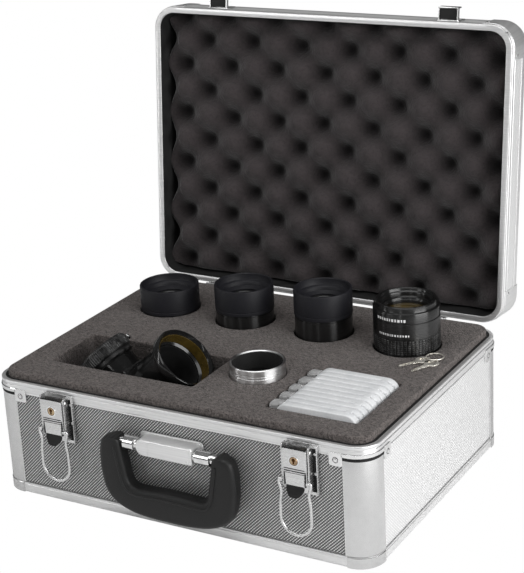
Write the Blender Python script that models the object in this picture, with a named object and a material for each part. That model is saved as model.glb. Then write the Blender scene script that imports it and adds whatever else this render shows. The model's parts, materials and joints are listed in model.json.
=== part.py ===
"""Aluminium telescope eyepiece case with its lid open: eyepieces, Barlow lens, star diagonal and filters.

Metres, +Z up, the front towards -Y. The origin is on the underside, below the middle of the case.
"""

import math

import bmesh
import bpy
from mathutils import Matrix, Vector

# Driving dimensions of the case
WIDTH = 0.385
DEPTH = 0.282
RIM_TOP = 0.113
LID_DEPTH = 0.036
LID_OPEN = 95.5
CORNER_R = 0.022
WALL = 0.006
FIT = 0.0003
FOAM_TOP = 0.119
RAIL = 0.011
FRONT = -DEPTH / 2
MIDDLE_X = 0.004

# Hinge axis, behind the back wall and level with the joint between base and lid
HINGE_Y = DEPTH / 2 + 0.0030
HINGE_Z = RIM_TOP + 0.0001
HINGE_X = 0.115
KNUCKLE_R = 0.0025

# Foam layers
LAYER_BOTTOM = 0.062
BED_BOTTOM = 0.034
BED_TOP = 0.044
LID_FOAM_THICK = 0.020
CAVITY = (-0.166, 0.172, -0.108, 0.102)

# Row of eyepieces and the Barlow lens
ROW_Y = 0.063
ROW_PITCH = 0.0863
ROW_MIDDLE = 0.0025
EYEPIECES = ((0.0294, 0.025), (0.0288, 0.037), (0.0279, 0.044))
BARLOW_R = 0.031
BARLOW_RISE = 0.046
BARREL_R = 0.01585
BARREL_LEN = 0.0304
CUP_LEN = 0.025

# Star diagonal: its two ports rise at 45 degrees from the mirror's centre
DIAGONAL = Vector((-0.081, -0.0635, 0.077))
DIAGONAL_POCKET = (-0.156, -0.002, -0.098, -0.029)

# Adapter ring and the filter cases
RING_X, RING_Y, RING_R = 0.037, -0.049, 0.0254
RING_BOTTOM = 0.096
FILTER_POCKET = (0.077, 0.166, -0.109, -0.021)
FILTER_FLOOR = 0.071
FILTER_PITCH = 0.0173
FILTER_COUNT = 5

# Front hardware
LATCH_X = 0.1235
LATCH_TOP = 0.110
LATCH_BOTTOM = 0.063
LEVER_PIVOT = (FRONT - 0.0062, 0.1040)
BAIL_PIVOT = (FRONT - 0.0105, 0.0770)
BAIL_LENGTH = 0.0495
LOCK_Z = 0.0960
STRIKE_HALF = 0.0100
STRIKE_DROP = 0.0062
HANDLE_Y = FRONT - 0.0110
HANDLE_Z = 0.0820

MATERIALS = {
    "aluminium": ((0.78, 0.79, 0.80), 0.35, 1.0),
    "panel": ((0.55, 0.56, 0.57), 0.45, 0.8),
    "chrome": ((0.85, 0.85, 0.86), 0.12, 1.0),
    "foam": ((0.06, 0.055, 0.052), 0.95, 0.0),
    "black_metal": ((0.012, 0.012, 0.014), 0.2, 0.0),
    "rubber": ((0.025, 0.025, 0.026), 0.75, 0.0),
    "black_plastic": ((0.02, 0.02, 0.021), 0.5, 0.0),
    "lens_glass": ((0.25, 0.2, 0.12), 0.05, 0.0),
    "mirror": ((0.8, 0.8, 0.8), 0.05, 1.0),
    "clear_plastic": ((0.85, 0.87, 0.88), 0.3, 0.0),
    "brass": ((0.7, 0.5, 0.22), 0.3, 1.0),
}


def clear_scene():
    for item in list(bpy.data.objects):
        bpy.data.objects.remove(item, do_unlink=True)


def material(slot):
    found = bpy.data.materials.get(slot)
    if found:
        return found
    colour, roughness, metallic = MATERIALS[slot]
    made = bpy.data.materials.new(slot)
    made.use_nodes = True
    shader = made.node_tree.nodes["Principled BSDF"]
    shader.inputs["Base Color"].default_value = (*colour, 1.0)
    shader.inputs["Roughness"].default_value = roughness
    shader.inputs["Metallic"].default_value = metallic
    return made


def to_object(name, mesh, slot, pivot=None):
    """Wraps a bmesh modelled in place; a pivot parent keeps that place."""
    bmesh.ops.recalc_face_normals(mesh, faces=mesh.faces)
    data = bpy.data.meshes.new(name)
    mesh.to_mesh(data)
    mesh.free()
    item = bpy.data.objects.new(name, data)
    bpy.context.scene.collection.objects.link(item)
    data.materials.append(material(slot))
    data.shade_smooth()
    data.set_sharp_from_angle(angle=math.radians(35))
    if pivot:
        item.data.transform(Matrix.Translation(-Vector(pivot["rest"])))
        item.parent = pivot
    return item


def pivot_at(name, place, turn=(0, 0, 0)):
    """An empty on a joint axis. Its children are modelled in the frame where its turn is zero."""
    empty = bpy.data.objects.new(name, None)
    bpy.context.scene.collection.objects.link(empty)
    empty.location = place
    empty.rotation_euler = [math.radians(angle) for angle in turn]
    empty["rest"] = list(place)
    return empty


def loft(loops, closed=False):
    """Skins loops that have equal numbers of points, and caps the two ends unless closed."""
    mesh = bmesh.new()
    rings = [[mesh.verts.new(point) for point in loop] for loop in loops]
    count = len(rings[0])
    pairs = list(zip(rings, rings[1:]))
    if closed:
        pairs.append((rings[-1], rings[0]))
    for low, high in pairs:
        for i in range(count):
            j = (i + 1) % count
            mesh.faces.new((low[i], low[j], high[j], high[i]))
    if not closed:
        mesh.faces.new(list(reversed(rings[0])))
        mesh.faces.new(rings[-1])
    return mesh


def corner_stations(sign_x, sign_y, start, end, steps, half=(WIDTH / 2, DEPTH / 2), radius=CORNER_R):
    """Points on a rounded corner of the plan, each with its outward direction."""
    centre = Vector((sign_x * (half[0] - radius), sign_y * (half[1] - radius)))
    found = []
    for i in range(steps + 1):
        angle = math.radians(start + (end - start) * i / steps)
        out = Vector((math.cos(angle), math.sin(angle)))
        found.append((centre + radius * out, out))
    return found


def plan_stations(steps=6, half=(WIDTH / 2, DEPTH / 2), radius=CORNER_R):
    """The whole rounded rectangle, anticlockwise from the front right corner."""
    found = []
    for sign_x, sign_y, start in ((1, -1, -90), (1, 1, 0), (-1, 1, 90), (-1, -1, 180)):
        found += corner_stations(sign_x, sign_y, start, start + 90, steps, half, radius)
    return found


def wall(section, stations, closed):
    """Sweeps a section of (inset, height) points along the stations."""
    loops = []
    for point, out in stations:
        loops.append([(*(point - out * inset), height) for inset, height in section])
    return loft(loops, closed)


def box_mesh(low, high, bevel=0.0):
    mesh = bmesh.new()
    bmesh.ops.create_cube(mesh, size=1.0)
    size = [b - a for a, b in zip(low, high)]
    middle = [(a + b) / 2 for a, b in zip(low, high)]
    bmesh.ops.scale(mesh, vec=size, verts=mesh.verts)
    bmesh.ops.translate(mesh, vec=middle, verts=mesh.verts)
    if bevel:
        bmesh.ops.bevel(
            mesh, geom=list(mesh.edges), offset=bevel, segments=1, affect="EDGES", profile=0.5
        )
    return mesh


def plan_prism(half_x, half_y, radius, low, high, steps=6):
    """A slab with a rounded-rectangle plan."""
    outline = [point for point, _ in plan_stations(steps, (half_x, half_y), radius)]
    return loft([[(*p, low) for p in outline], [(*p, high) for p in outline]])


def turned(profile, centre, steps=24, through=True, axis=None):
    """Turns (radius, height) points about a vertical axis: a closed ring section, or a solid one."""
    rows = []
    for radius, height in profile:
        row = []
        for i in range(steps):
            angle = 2 * math.pi * i / steps
            row.append(Vector((radius * math.cos(angle), radius * math.sin(angle), height)))
        rows.append(row)
    mesh = loft(rows, closed=through)
    if axis:
        bmesh.ops.rotate(
            mesh,
            cent=(0, 0, 0),
            matrix=Vector((0, 0, 1)).rotation_difference(Vector(axis)).to_matrix(),
            verts=mesh.verts,
        )
    bmesh.ops.translate(mesh, vec=centre, verts=mesh.verts)
    return mesh


def rod(start, end, radius, steps=16):
    """A plain cylinder between two points."""
    start, end = Vector(start), Vector(end)
    length = (end - start).length
    return turned(((radius, 0), (radius, length)), start, steps, False, (end - start).normalized())


def prism(outline, low, high, axis="Y"):
    """Extrudes an outline along X or Y; the outline's points are (other axis, Z)."""
    loops = []
    for station in (low, high):
        if axis == "Y":
            loops.append([(a, station, b) for a, b in outline])
        else:
            loops.append([(station, a, b) for a, b in outline])
    return loft(loops)


def tube(points, radius, steps=8, closed=False):
    """A round wire along points; frames stay in step because the route is nearly flat."""
    points = [Vector(point) for point in points]
    count = len(points)
    flat = Vector((0, 1, 0))
    loops = []
    for i, point in enumerate(points):
        before = points[(i - 1) % count] if closed or i else point
        after = points[(i + 1) % count] if closed or i < count - 1 else point
        along = (after - before).normalized()
        side = along.cross(flat).normalized()
        up = side.cross(along)
        loop = []
        for k in range(steps):
            angle = 2 * math.pi * k / steps
            loop.append(point + radius * (math.cos(angle) * side + math.sin(angle) * up))
        loops.append(loop)
    return loft(loops, closed)


def helper(mesh):
    """A hidden solid for a Boolean."""
    item = to_object("shape", mesh, "panel")
    item.hide_render = True
    item.display_type = "WIRE"
    return item


def combine(item, mesh, operation):
    """Adds a solid to an object's mesh or cuts it away, and applies the result."""
    tool = helper(mesh)
    if item.parent:
        tool.data.transform(Matrix.Translation(-Vector(item.parent["rest"])))
        tool.parent = item.parent
    modifier = item.modifiers.new(operation.lower(), "BOOLEAN")
    modifier.operation = operation
    modifier.object = tool
    modifier.solver = "EXACT"
    bpy.context.view_layer.update()
    graph = bpy.context.evaluated_depsgraph_get()
    done = bpy.data.meshes.new_from_object(item.evaluated_get(graph))
    item.modifiers.remove(modifier)
    item.data = done
    bpy.data.objects.remove(tool, do_unlink=True)
    done.shade_smooth()
    done.set_sharp_from_angle(angle=math.radians(35))
    return item


def join(item, *meshes):
    for mesh in meshes:
        combine(item, mesh, "UNION")
    return item


def cut(item, *meshes):
    for mesh in meshes:
        combine(item, mesh, "DIFFERENCE")
    return item


def base_shell():
    """Corner posts, extruded frames and embossed panels of the lower half."""
    groove = ((0, 0.006), (0.0006, 0.0055), (0.0006, 0.0050), (0, 0.0045))
    rim = [(0.0008, RIM_TOP), (0, RIM_TOP - 0.0008)]
    rim += [(inset, RIM_TOP - RAIL + height) for inset, height in groove]
    rim += [(0, RIM_TOP - RAIL), (WALL, RIM_TOP - RAIL), (WALL, RIM_TOP)]
    to_object("base_rim_frame", wall(rim, plan_stations(), True), "aluminium")
    foot = [(0, RAIL), (0, 0.0015), (0.0015, 0), (WALL, 0), (WALL, RAIL)]
    to_object("base_bottom_frame", wall(foot, plan_stations(), True), "aluminium")
    low = RAIL + FIT
    high = RIM_TOP - RAIL - FIT
    post = [(0, low), (0.0045, low), (0.0045, high), (0, high)]
    leg = 0.003
    ends = CORNER_R + leg
    corners = (("front_right", 1, -1, -90), ("back_right", 1, 1, 0),
               ("back_left", -1, 1, 90), ("front_left", -1, -1, 180))
    for name, sign_x, sign_y, start in corners:
        stations = corner_stations(sign_x, sign_y, start, start + 90, 6)
        first, last = stations[0], stations[-1]
        along_first = Vector((-first[1].y, first[1].x))
        along_last = Vector((-last[1].y, last[1].x))
        stations.insert(0, (first[0] - leg * along_first, first[1]))
        stations.append((last[0] + leg * along_last, last[1]))
        to_object("base_post_" + name, wall(post, stations, False), "aluminium")
    half_x = WIDTH / 2 - ends - FIT
    half_y = DEPTH / 2 - ends - FIT
    inset, thick = 0.0010, 0.0030
    for name, sign in (("front", -1), ("back", 1)):
        near, far = sorted((sign * (DEPTH / 2 - inset), sign * (DEPTH / 2 - inset - thick)))
        panel = box_mesh((-half_x, near, low), (half_x, far, high))
        to_object(f"base_{name}_panel", panel, "panel")
    for name, sign in (("left", -1), ("right", 1)):
        near, far = sorted((sign * (WIDTH / 2 - inset), sign * (WIDTH / 2 - inset - thick)))
        panel = box_mesh((near, -half_y, low), (far, half_y, high))
        to_object(f"base_{name}_panel", panel, "panel")
    margin = WALL + FIT
    floor = plan_prism(WIDTH / 2 - margin, DEPTH / 2 - margin, CORNER_R - margin, 0, 0.004)
    to_object("base_bottom_panel", floor, "panel")


def row_x(index):
    return ROW_MIDDLE + (index - 1.5) * ROW_PITCH


def base_foam():
    """Foam block with a hollow below its die-cut top layer, and a pocket for each item."""
    margin = WALL + 2 * FIT
    block = plan_prism(WIDTH / 2 - margin, DEPTH / 2 - margin, CORNER_R - margin, 0.0043, FOAM_TOP, 6)
    foam = to_object("base_foam", block, "foam")
    x0, x1, y0, y1 = CAVITY
    cut(foam, box_mesh((x0, y0, 0), (x1, y1, LAYER_BOTTOM)))
    x0, x1, y0, y1 = DIAGONAL_POCKET
    cut(foam, box_mesh((x0, y0, 0.055), (x1, y1, 0.13)))
    x0, x1, y0, y1 = FILTER_POCKET
    cut(foam, box_mesh((x0, y0, FILTER_FLOOR), (x1, y1, 0.13)))
    for index, (radius, _) in enumerate(EYEPIECES):
        cut(foam, rod((row_x(index), ROW_Y, 0.055), (row_x(index), ROW_Y, 0.13), radius + 0.0006, 24))
    barlow = rod((row_x(3), ROW_Y, 0.055), (row_x(3), ROW_Y, 0.13), BARLOW_R + 0.0006, 32)
    cut(foam, barlow)
    floor = RING_BOTTOM - FIT
    cut(foam, rod((RING_X, RING_Y, floor), (RING_X, RING_Y, 0.13), RING_R + 0.0006, 28))


def foam_bed():
    """Soft board that carries the tall items, and sinks as the closing lid presses on them."""
    x0, x1, y0, y1 = CAVITY
    gap = 0.001
    bed = to_object(
        "foam_bed", box_mesh((x0 + gap, y0 + gap, BED_BOTTOM), (x1 - gap, y1 - gap, BED_TOP)), "foam"
    )
    pad_top = DIAGONAL.z - 0.012 - FIT
    low = (DIAGONAL.x - 0.036, DIAGONAL.y - 0.028, BED_TOP - 0.002)
    high = (DIAGONAL.x + 0.036, DIAGONAL.y + 0.028, pad_top)
    join(bed, box_mesh(low, high))


def lid_shell(lid):
    """Lid modelled closed, from the joint upwards; its pivot turns it open."""
    low = RIM_TOP + FIT
    high = low + LID_DEPTH
    section = [(0.0008, low), (0, low + 0.0008), (0, low + 0.0055), (0.0006, low + 0.006),
               (0.0006, low + 0.0065), (0, low + 0.007), (0, high - 0.0070), (0.0008, high - 0.0060),
               (0.0008, high - 0.0055), (0, high - 0.0045), (0, high - 0.002), (0.002, high),
               (0.012, high), (0.012, high - 0.0012), (WALL, high - 0.0012), (WALL, low)]
    slack = 1.0
    parts = (("front", 1, -1, -90), ("right", 1, 1, 0), ("back", -1, 1, 90), ("left", -1, -1, 180))
    before = {"front": (-1, -1, 180), "right": (1, -1, -90), "back": (1, 1, 0), "left": (-1, 1, 90)}
    for name, sign_x, sign_y, start in parts:
        last_x, last_y, last = before[name]
        first = corner_stations(last_x, last_y, last + 45 + slack, last + 90, 3)
        second = corner_stations(sign_x, sign_y, start, start + 45 - slack, 3)
        to_object("lid_rail_" + name, wall(section, first + second, False), "aluminium", lid)
    margin = 0.012 + FIT
    panel = plan_prism(WIDTH / 2 - margin, DEPTH / 2 - margin, CORNER_R - margin, high - 0.0035, high - 0.0005)
    item = to_object("lid_panel", panel, "panel", lid)
    margin = WALL + FIT
    lower = plan_prism(WIDTH / 2 - margin, DEPTH / 2 - margin, CORNER_R - margin, high - 0.0045, high - 0.0018)
    join(item, lower)
    margin = WALL + 2 * FIT
    top = high - 0.0045 - FIT
    foam = plan_prism(
        WIDTH / 2 - margin, DEPTH / 2 - margin, CORNER_R - margin, top - LID_FOAM_THICK, top, 6
    )
    to_object("lid_foam", foam, "foam", lid)


def strike(name, x, lid):
    """Plate on the lid's front wall with a hook, over which the raised bail drops."""
    low = RIM_TOP + FIT + 0.002
    y = FRONT - FIT
    plate = to_object(
        name, box_mesh((x - 0.0110, y - 0.0014, low), (x + 0.0110, y, low + 0.0180)), "chrome", lid
    )
    catch = BAIL_PIVOT[1] + BAIL_LENGTH - STRIKE_DROP
    shelf = 0.0018
    lip = y - 0.0118
    side = [(y - 0.0005, catch), (y - 0.0005, catch - shelf), (lip - 0.0014, catch - shelf),
            (lip - 0.0014, catch + 0.0050), (lip, catch + 0.0050), (lip, catch)]
    join(plate, prism(side, x - STRIKE_HALF, x + STRIKE_HALF, "X"))


def hinge(name, x, lid):
    """Two leaves: the base leaf has the outer knuckles, the lid leaf the middle one and the pin."""
    near = HINGE_Y - 0.0027
    far = HINGE_Y - 0.0013
    half = 0.020
    middle = 0.0065
    base = to_object(
        "hinge_base_leaf_" + name,
        box_mesh((x - half, near, HINGE_Z - 0.026), (x + half, far, HINGE_Z - 0.0034)),
        "chrome",
    )
    for low, high in ((x - half, x - middle), (x + middle, x + half)):
        join(base, box_mesh((low, near, HINGE_Z - 0.005), (high, far, HINGE_Z)))
        join(base, rod((low, HINGE_Y, HINGE_Z), (high, HINGE_Y, HINGE_Z), KNUCKLE_R, 16))
    pin_hole = rod((x - 0.03, HINGE_Y, HINGE_Z), (x + 0.03, HINGE_Y, HINGE_Z), 0.0014, 12)
    cut(base, pin_hole)
    leaf = to_object(
        "hinge_lid_leaf_" + name,
        box_mesh((x - half, near, HINGE_Z + 0.0034), (x + half, far, HINGE_Z + 0.020)),
        "chrome",
        lid,
    )
    low, high = x - middle + 0.0004, x + middle - 0.0004
    join(leaf, box_mesh((low, near, HINGE_Z), (high, far, HINGE_Z + 0.005)))
    join(leaf, rod((low, HINGE_Y, HINGE_Z), (high, HINGE_Y, HINGE_Z), KNUCKLE_R, 16))
    join(leaf, rod((x - half - 0.001, HINGE_Y, HINGE_Z), (x + half + 0.001, HINGE_Y, HINGE_Z), 0.0010, 10))


def child_pivot(name, place, parent):
    """A joint's empty that rides on another joint's empty."""
    empty = pivot_at(name, place)
    empty.parent = parent
    empty.location = Vector(place) - Vector(parent["rest"])
    return empty


def latch(name, x):
    """Draw latch: channel plate, lever hinged at its top, lock, and the wire bail hanging from the lever."""
    back = FRONT - FIT
    plate = to_object(
        "latch_plate_" + name,
        box_mesh((x - 0.013, back - 0.0010, LATCH_BOTTOM), (x + 0.018, back, LATCH_TOP)),
        "chrome",
    )
    for side in (x - 0.0125, x + 0.0125):
        low = (side - 0.0006, back - 0.0085, LATCH_BOTTOM + 0.004)
        join(plate, box_mesh(low, (side + 0.0006, back - 0.0005, LATCH_TOP - 0.001)))
    y, z = LEVER_PIVOT
    cut(plate, rod((x - 0.03, y, z), (x + 0.03, y, z), 0.0014, 12))
    pivot = pivot_at("latch_pivot_" + name, (x, y, z))
    foot = LATCH_BOTTOM + 0.0090
    lever = to_object(
        "latch_lever_" + name,
        box_mesh((x - 0.0115, back - 0.0100, foot), (x + 0.0115, back - 0.0085, z + 0.0025)),
        "chrome",
        pivot,
    )
    tab = [(back - 0.0100, foot + 0.003), (back - 0.0085, foot + 0.003), (back - 0.0085, foot - 0.002),
           (back - 0.0105, foot - 0.0075), (back - 0.0130, foot - 0.0090), (back - 0.0135, foot - 0.0078),
           (back - 0.0115, foot - 0.0060), (back - 0.0100, foot - 0.001)]
    join(lever, prism(tab, x - 0.0085, x + 0.0085, "X"))
    for side in (x - 0.0106, x + 0.0106):
        low = (side - 0.0006, back - 0.0092, foot + 0.004)
        join(lever, box_mesh(low, (side + 0.0006, y + 0.0018, z + 0.0018)))
    join(lever, rod((x - 0.0135, y, z), (x + 0.0135, y, z), 0.0011, 10))
    cut(lever, rod((x, back - 0.02, LOCK_Z), (x, back - 0.0080, LOCK_Z), 0.0042, 20))
    lock = child_pivot("lock_pivot_" + name, (x, back - 0.0105, LOCK_Z), pivot)
    barrel = rod((x, back - 0.0106, LOCK_Z), (x, back - 0.0060, LOCK_Z), 0.0038, 20)
    barrel = to_object("lock_barrel_" + name, barrel, "brass", lock)
    slot = box_mesh((x - 0.0005, back - 0.02, LOCK_Z - 0.002), (x + 0.0005, back - 0.0095, LOCK_Z + 0.002))
    cut(barrel, slot)
    by, bz = BAIL_PIVOT
    swing = child_pivot("bail_pivot_" + name, (x, by, bz), pivot)
    half = 0.0140
    side = [(0.0120, 0), (half, 0), (half, -0.006), (half - 0.001, -0.012), (half + 0.0005, -0.020)]
    radius = half + 0.0005
    left = [(x - px, by, bz + pz) for px, pz in side]
    centre_z = bz - BAIL_LENGTH + radius
    turn = []
    for i in range(9):
        angle = math.pi + math.pi * i / 8
        turn.append((x + radius * math.cos(angle), by, centre_z + radius * math.sin(angle)))
    right = [(x + px, by, bz + pz) for px, pz in reversed(side)]
    to_object("latch_bail_" + name, tube(left + turn + right, 0.0011), "chrome", swing)


def handle():
    """Mounting plate, the rod it holds, and a moulded grip that swings on the rod."""
    back = FRONT - FIT
    x = MIDDLE_X
    bracket = to_object(
        "handle_bracket",
        box_mesh((x - 0.034, back - 0.0020, HANDLE_Z - 0.0085), (x + 0.030, back, HANDLE_Z + 0.0085)),
        "aluminium",
    )
    low = (x - 0.031, HANDLE_Y - 0.0058, HANDLE_Z - 0.0080)
    high = (x + 0.027, back - 0.001, HANDLE_Z + 0.0080)
    join(bracket, box_mesh(low, high, 0.002))
    cut(bracket, rod((x - 0.08, HANDLE_Y, HANDLE_Z), (x + 0.08, HANDLE_Y, HANDLE_Z), 0.0040, 20))
    pivot = pivot_at("handle_pivot", (x, HANDLE_Y, HANDLE_Z))
    to_object(
        "handle_rod",
        rod((x - 0.052, HANDLE_Y, HANDLE_Z), (x + 0.052, HANDLE_Y, HANDLE_Z), 0.0037, 20),
        "chrome",
        pivot,
    )
    bottom, inner_bottom = 0.0135, 0.0410
    outer = [(0.0580, HANDLE_Z + 0.0065), (0.0650, HANDLE_Z + 0.0030), (0.0680, HANDLE_Z - 0.0060),
             (0.0690, 0.0520), (0.0650, 0.0340), (0.0560, 0.0235), (0.0400, 0.0165), (0.0200, bottom + 0.0005)]
    inner = [(0.0200, inner_bottom + 0.0010), (0.0350, inner_bottom), (0.0390, inner_bottom + 0.0030),
             (0.0410, 0.0520), (0.0440, HANDLE_Z - 0.0100), (0.0470, HANDLE_Z + 0.0035), (0.0510, HANDLE_Z + 0.0065)]
    outline = outer + [(0, bottom)] + [(-px, pz) for px, pz in reversed(outer)]
    outline += [(-px, pz) for px, pz in reversed(inner)] + [(0, inner_bottom + 0.0015)] + inner
    front, rear = HANDLE_Y - 0.0085, HANDLE_Y + 0.0070
    grip = to_object("handle_grip", prism([(x + px, pz) for px, pz in outline], front, rear), "black_plastic", pivot)
    cut(grip, rod((x - 0.0525, HANDLE_Y, HANDLE_Z), (x + 0.0525, HANDLE_Y, HANDLE_Z), 0.0040, 20))


def eyepiece(number, x, radius, rise):
    """Rubber eyecup over a metal body, with its eye lens and the barrel below."""
    top = FOAM_TOP + rise
    name = f"eyepiece_{number}"
    seat = 0.0170
    cup = [(radius, top - CUP_LEN), (radius, top - 0.0008), (radius - 0.0008, top), (radius - 0.0022, top),
           (radius - 0.0026, top - 0.0060), (radius - 0.0060, top - 0.0075), (seat, top - 0.0125),
           (seat, top - CUP_LEN)]
    to_object(name + "_eyecup", turned(cup, (x, ROW_Y, 0)), "rubber")
    low = BED_TOP + FIT + BARREL_LEN + FIT
    neck = seat - FIT
    body_top = top - CUP_LEN - FIT
    outer = radius - 0.0006
    body = [(outer, body_top), (neck, body_top), (neck, top - 0.0140), (0.0134, top - 0.0140),
            (0.0134, top - 0.0183), (0.0110, top - 0.0183), (0.0110, low), (0.0190, low),
            (0.0205, low + 0.006), (outer, low + 0.012)]
    to_object(name + "_body", turned(list(reversed(body)), (x, ROW_Y, 0)), "black_metal")
    lens = [(0.0131, top - 0.0180), (0.0131, top - 0.0150), (0.0085, top - 0.0136), (0.0040, top - 0.0131)]
    to_object(name + "_eye_lens", turned(lens, (x, ROW_Y, 0), 20, False), "lens_glass")
    end = BED_TOP + FIT
    high = end + BARREL_LEN
    nose = [(BARREL_R, high), (BARREL_R, high - 0.010), (BARREL_R - 0.0007, high - 0.011),
            (BARREL_R - 0.0007, high - 0.017), (BARREL_R, high - 0.018), (BARREL_R, end),
            (BARREL_R - 0.002, end), (BARREL_R - 0.002, high)]
    to_object(name + "_nosepiece", turned(nose, (x, ROW_Y, 0), 16), "chrome")


def barlow():
    """Wide lens cell on top, a knurled band at the foam, and a barrel below."""
    x = row_x(3)
    top = FOAM_TOP + BARLOW_RISE
    cell = 0.0285
    shoulder = top - 0.0050
    foot = 0.078
    end = BED_TOP + FIT
    seat = 0.0205
    body = [(cell, top - 0.0010), (cell - 0.0010, top), (cell - 0.0025, top), (0.0235, top - 0.0040),
            (0.0235, top - 0.0075), (seat, top - 0.0105), (seat, top - 0.0170), (0.0180, top - 0.0170),
            (0.0135, foot), (0.0135, end), (BARREL_R, end), (BARREL_R, foot - 0.006), (0.0250, foot),
            (BARLOW_R, foot + 0.004), (BARLOW_R, shoulder - 0.001), (BARLOW_R - 0.001, shoulder),
            (cell, shoulder)]
    to_object("barlow_body", turned(body, (x, ROW_Y, 0), 32), "black_metal")
    lens = [(seat - FIT, top - 0.0167), (seat - FIT, top - 0.0130), (0.0140, top - 0.0112),
            (0.0060, top - 0.0104)]
    to_object("barlow_lens", turned(lens, (x, ROW_Y, 0), 20, False), "lens_glass")


def diagonal():
    """Mirror housing with a wide port towards +X and an eyepiece socket towards -X."""
    centre = DIAGONAL
    right = Vector((1, 0, 1)).normalized()
    left = Vector((-1, 0, 1)).normalized()
    half = 0.0275

    def along(axis, distance):
        return centre + axis * distance

    outline = [(-0.036, -0.012), (0.036, -0.012), (0.0395, -0.008), (0.0395, 0.0015), (0, 0.041),
               (-0.0395, 0.0015), (-0.0395, -0.008)]
    outline = [(centre.x + a, centre.z + b) for a, b in outline]
    body = to_object("diagonal_body", prism(outline, centre.y - half, centre.y + half), "black_metal")
    join(
        body,
        rod(along(right, 0.022), along(right, 0.068), 0.0272, 32),
        rod(along(right, 0.0635), along(right, 0.0735), 0.0308, 32),
        rod(along(left, 0.022), along(left, 0.0437), 0.0220, 32),
    )
    inside = [(centre.x - 0.031, centre.z), (centre.x + 0.031, centre.z), (centre.x, centre.z + 0.031)]
    cut(
        body,
        rod(along(right, 0.0213), along(right, 0.09), 0.0240, 32),
        rod(along(left, 0.0213), along(left, 0.06), 0.0158, 32),
        prism(inside, centre.y - 0.022, centre.y + 0.022),
        box_mesh(centre - Vector((0.026, 0.0225, 0.0070)), centre + Vector((0.026, 0.0225, 0.0010))),
    )
    plate = box_mesh(centre - Vector((0.0257, 0.0222, 0.0067)), centre + Vector((0.0257, 0.0222, -0.0007)))
    to_object("diagonal_mirror", plate, "mirror")
    ring = [(0.0158, 0), (0.0235, 0), (0.0250, 0.0015), (0.0250, 0.0050), (0.0270, 0.0065),
            (0.0270, 0.0160), (0.0255, 0.0180), (0.0158, 0.0180)]
    collar = turned(list(reversed(ring)), along(left, 0.0440), 32, True, left)
    to_object("diagonal_collar", collar, "black_metal")


def adapter_ring():
    """Silver reducer ring, standing in its own round pocket."""
    top = FOAM_TOP + 0.012
    low = RING_BOTTOM
    inner = RING_R - 0.0028
    ring = [(RING_R, low), (RING_R, top - 0.0062), (RING_R - 0.001, top - 0.0055),
            (RING_R - 0.001, top - 0.0045), (RING_R, top - 0.0038), (RING_R, top - 0.0008),
            (RING_R - 0.0008, top), (inner + 0.0006, top), (inner, top - 0.001), (inner, low)]
    to_object("adapter_ring", turned(ring, (RING_X, RING_Y, 0), 32), "aluminium")


def filter_case(number, y):
    """Hinged clear box for one filter, standing on edge with the hinge to the left."""
    x0, x1 = FILTER_POCKET[:2]
    left, right = x0 + 0.0100, x1 - 0.0015
    low, high = FILTER_FLOOR + FIT, FOAM_TOP + 0.0045
    radius = 0.011
    half = FILTER_PITCH / 2 - 0.00035

    def outline(inset):
        points = []
        for cx, cz, start, round_r in (
            (right, low, -90, 0.003), (right, high, 0, radius), (left, high, 90, radius), (left, low, 180, 0.003)
        ):
            side_x = -1 if cx == right else 1
            side_z = -1 if cz == high else 1
            centre_x = cx + side_x * round_r
            centre_z = cz + side_z * round_r
            for i in range(5):
                angle = math.radians(start + 22.5 * i)
                reach = round_r - inset
                points.append((centre_x + reach * math.cos(angle), centre_z + reach * math.sin(angle)))
        return points

    steps = ((-half, 0.0012), (-half + 0.0012, 0), (-0.0006, 0), (-0.0005, 0.0010), (0.0005, 0.0010),
             (0.0006, 0), (half - 0.0012, 0), (half, 0.0012))
    loops = [[(px, y + station, pz) for px, pz in outline(inset)] for station, inset in steps]
    case = to_object(f"filter_case_{number}", loft(loops), "clear_plastic")
    hinge_x = x0 + 0.0055
    near, far = y - half + 0.003, y + half - 0.003
    join(case, box_mesh((hinge_x, near, high - 0.0100), (left + 0.006, far, high - 0.0030)))
    join(case, rod((hinge_x, near, high - 0.0060), (hinge_x, far, high - 0.0060), 0.0047, 14))


def keys():
    """Two flat keys on a split ring, lying on the foam beside the Barlow lens."""
    base = FOAM_TOP + FIT
    wire = 0.0009
    ring_r = 0.0080
    centre = Vector((0.1690, 0.0420, base + wire))
    loops = []
    for i in range(20):
        angle = 2 * math.pi * i / 20
        out = Vector((math.cos(angle), math.sin(angle), 0))
        loop = []
        for k in range(6):
            around = 2 * math.pi * k / 6
            loop.append(centre + out * (ring_r + wire * math.cos(around)) + Vector((0, 0, wire * math.sin(around))))
        loops.append(loop)
    item = to_object("keys", loft(loops, True), "chrome")
    bow_r, thick = 0.0070, 0.0014
    shank = ((0.0066, -0.0024), (0.0235, -0.0024), (0.0255, -0.0006), (0.0240, 0.0018), (0.0066, 0.0024))
    for bow, angle in ((Vector((0.1620, 0.0310, 0)), 236), (Vector((0.1720, 0.0275, 0)), 249)):
        turn = math.radians(angle)
        way = Vector((math.cos(turn), math.sin(turn), 0))
        side = Vector((-way.y, way.x, 0))
        outline = []
        for i in range(13):
            around = math.radians(30 + 300 * i / 12)
            outline.append(bow + bow_r * (way * math.cos(around) + side * math.sin(around)))
        outline += [bow + way * a + side * b for a, b in shank]
        low = base + 0.0001
        blade = loft([[(p.x, p.y, low) for p in outline], [(p.x, p.y, low + thick) for p in outline]])
        join(item, blade)


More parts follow.
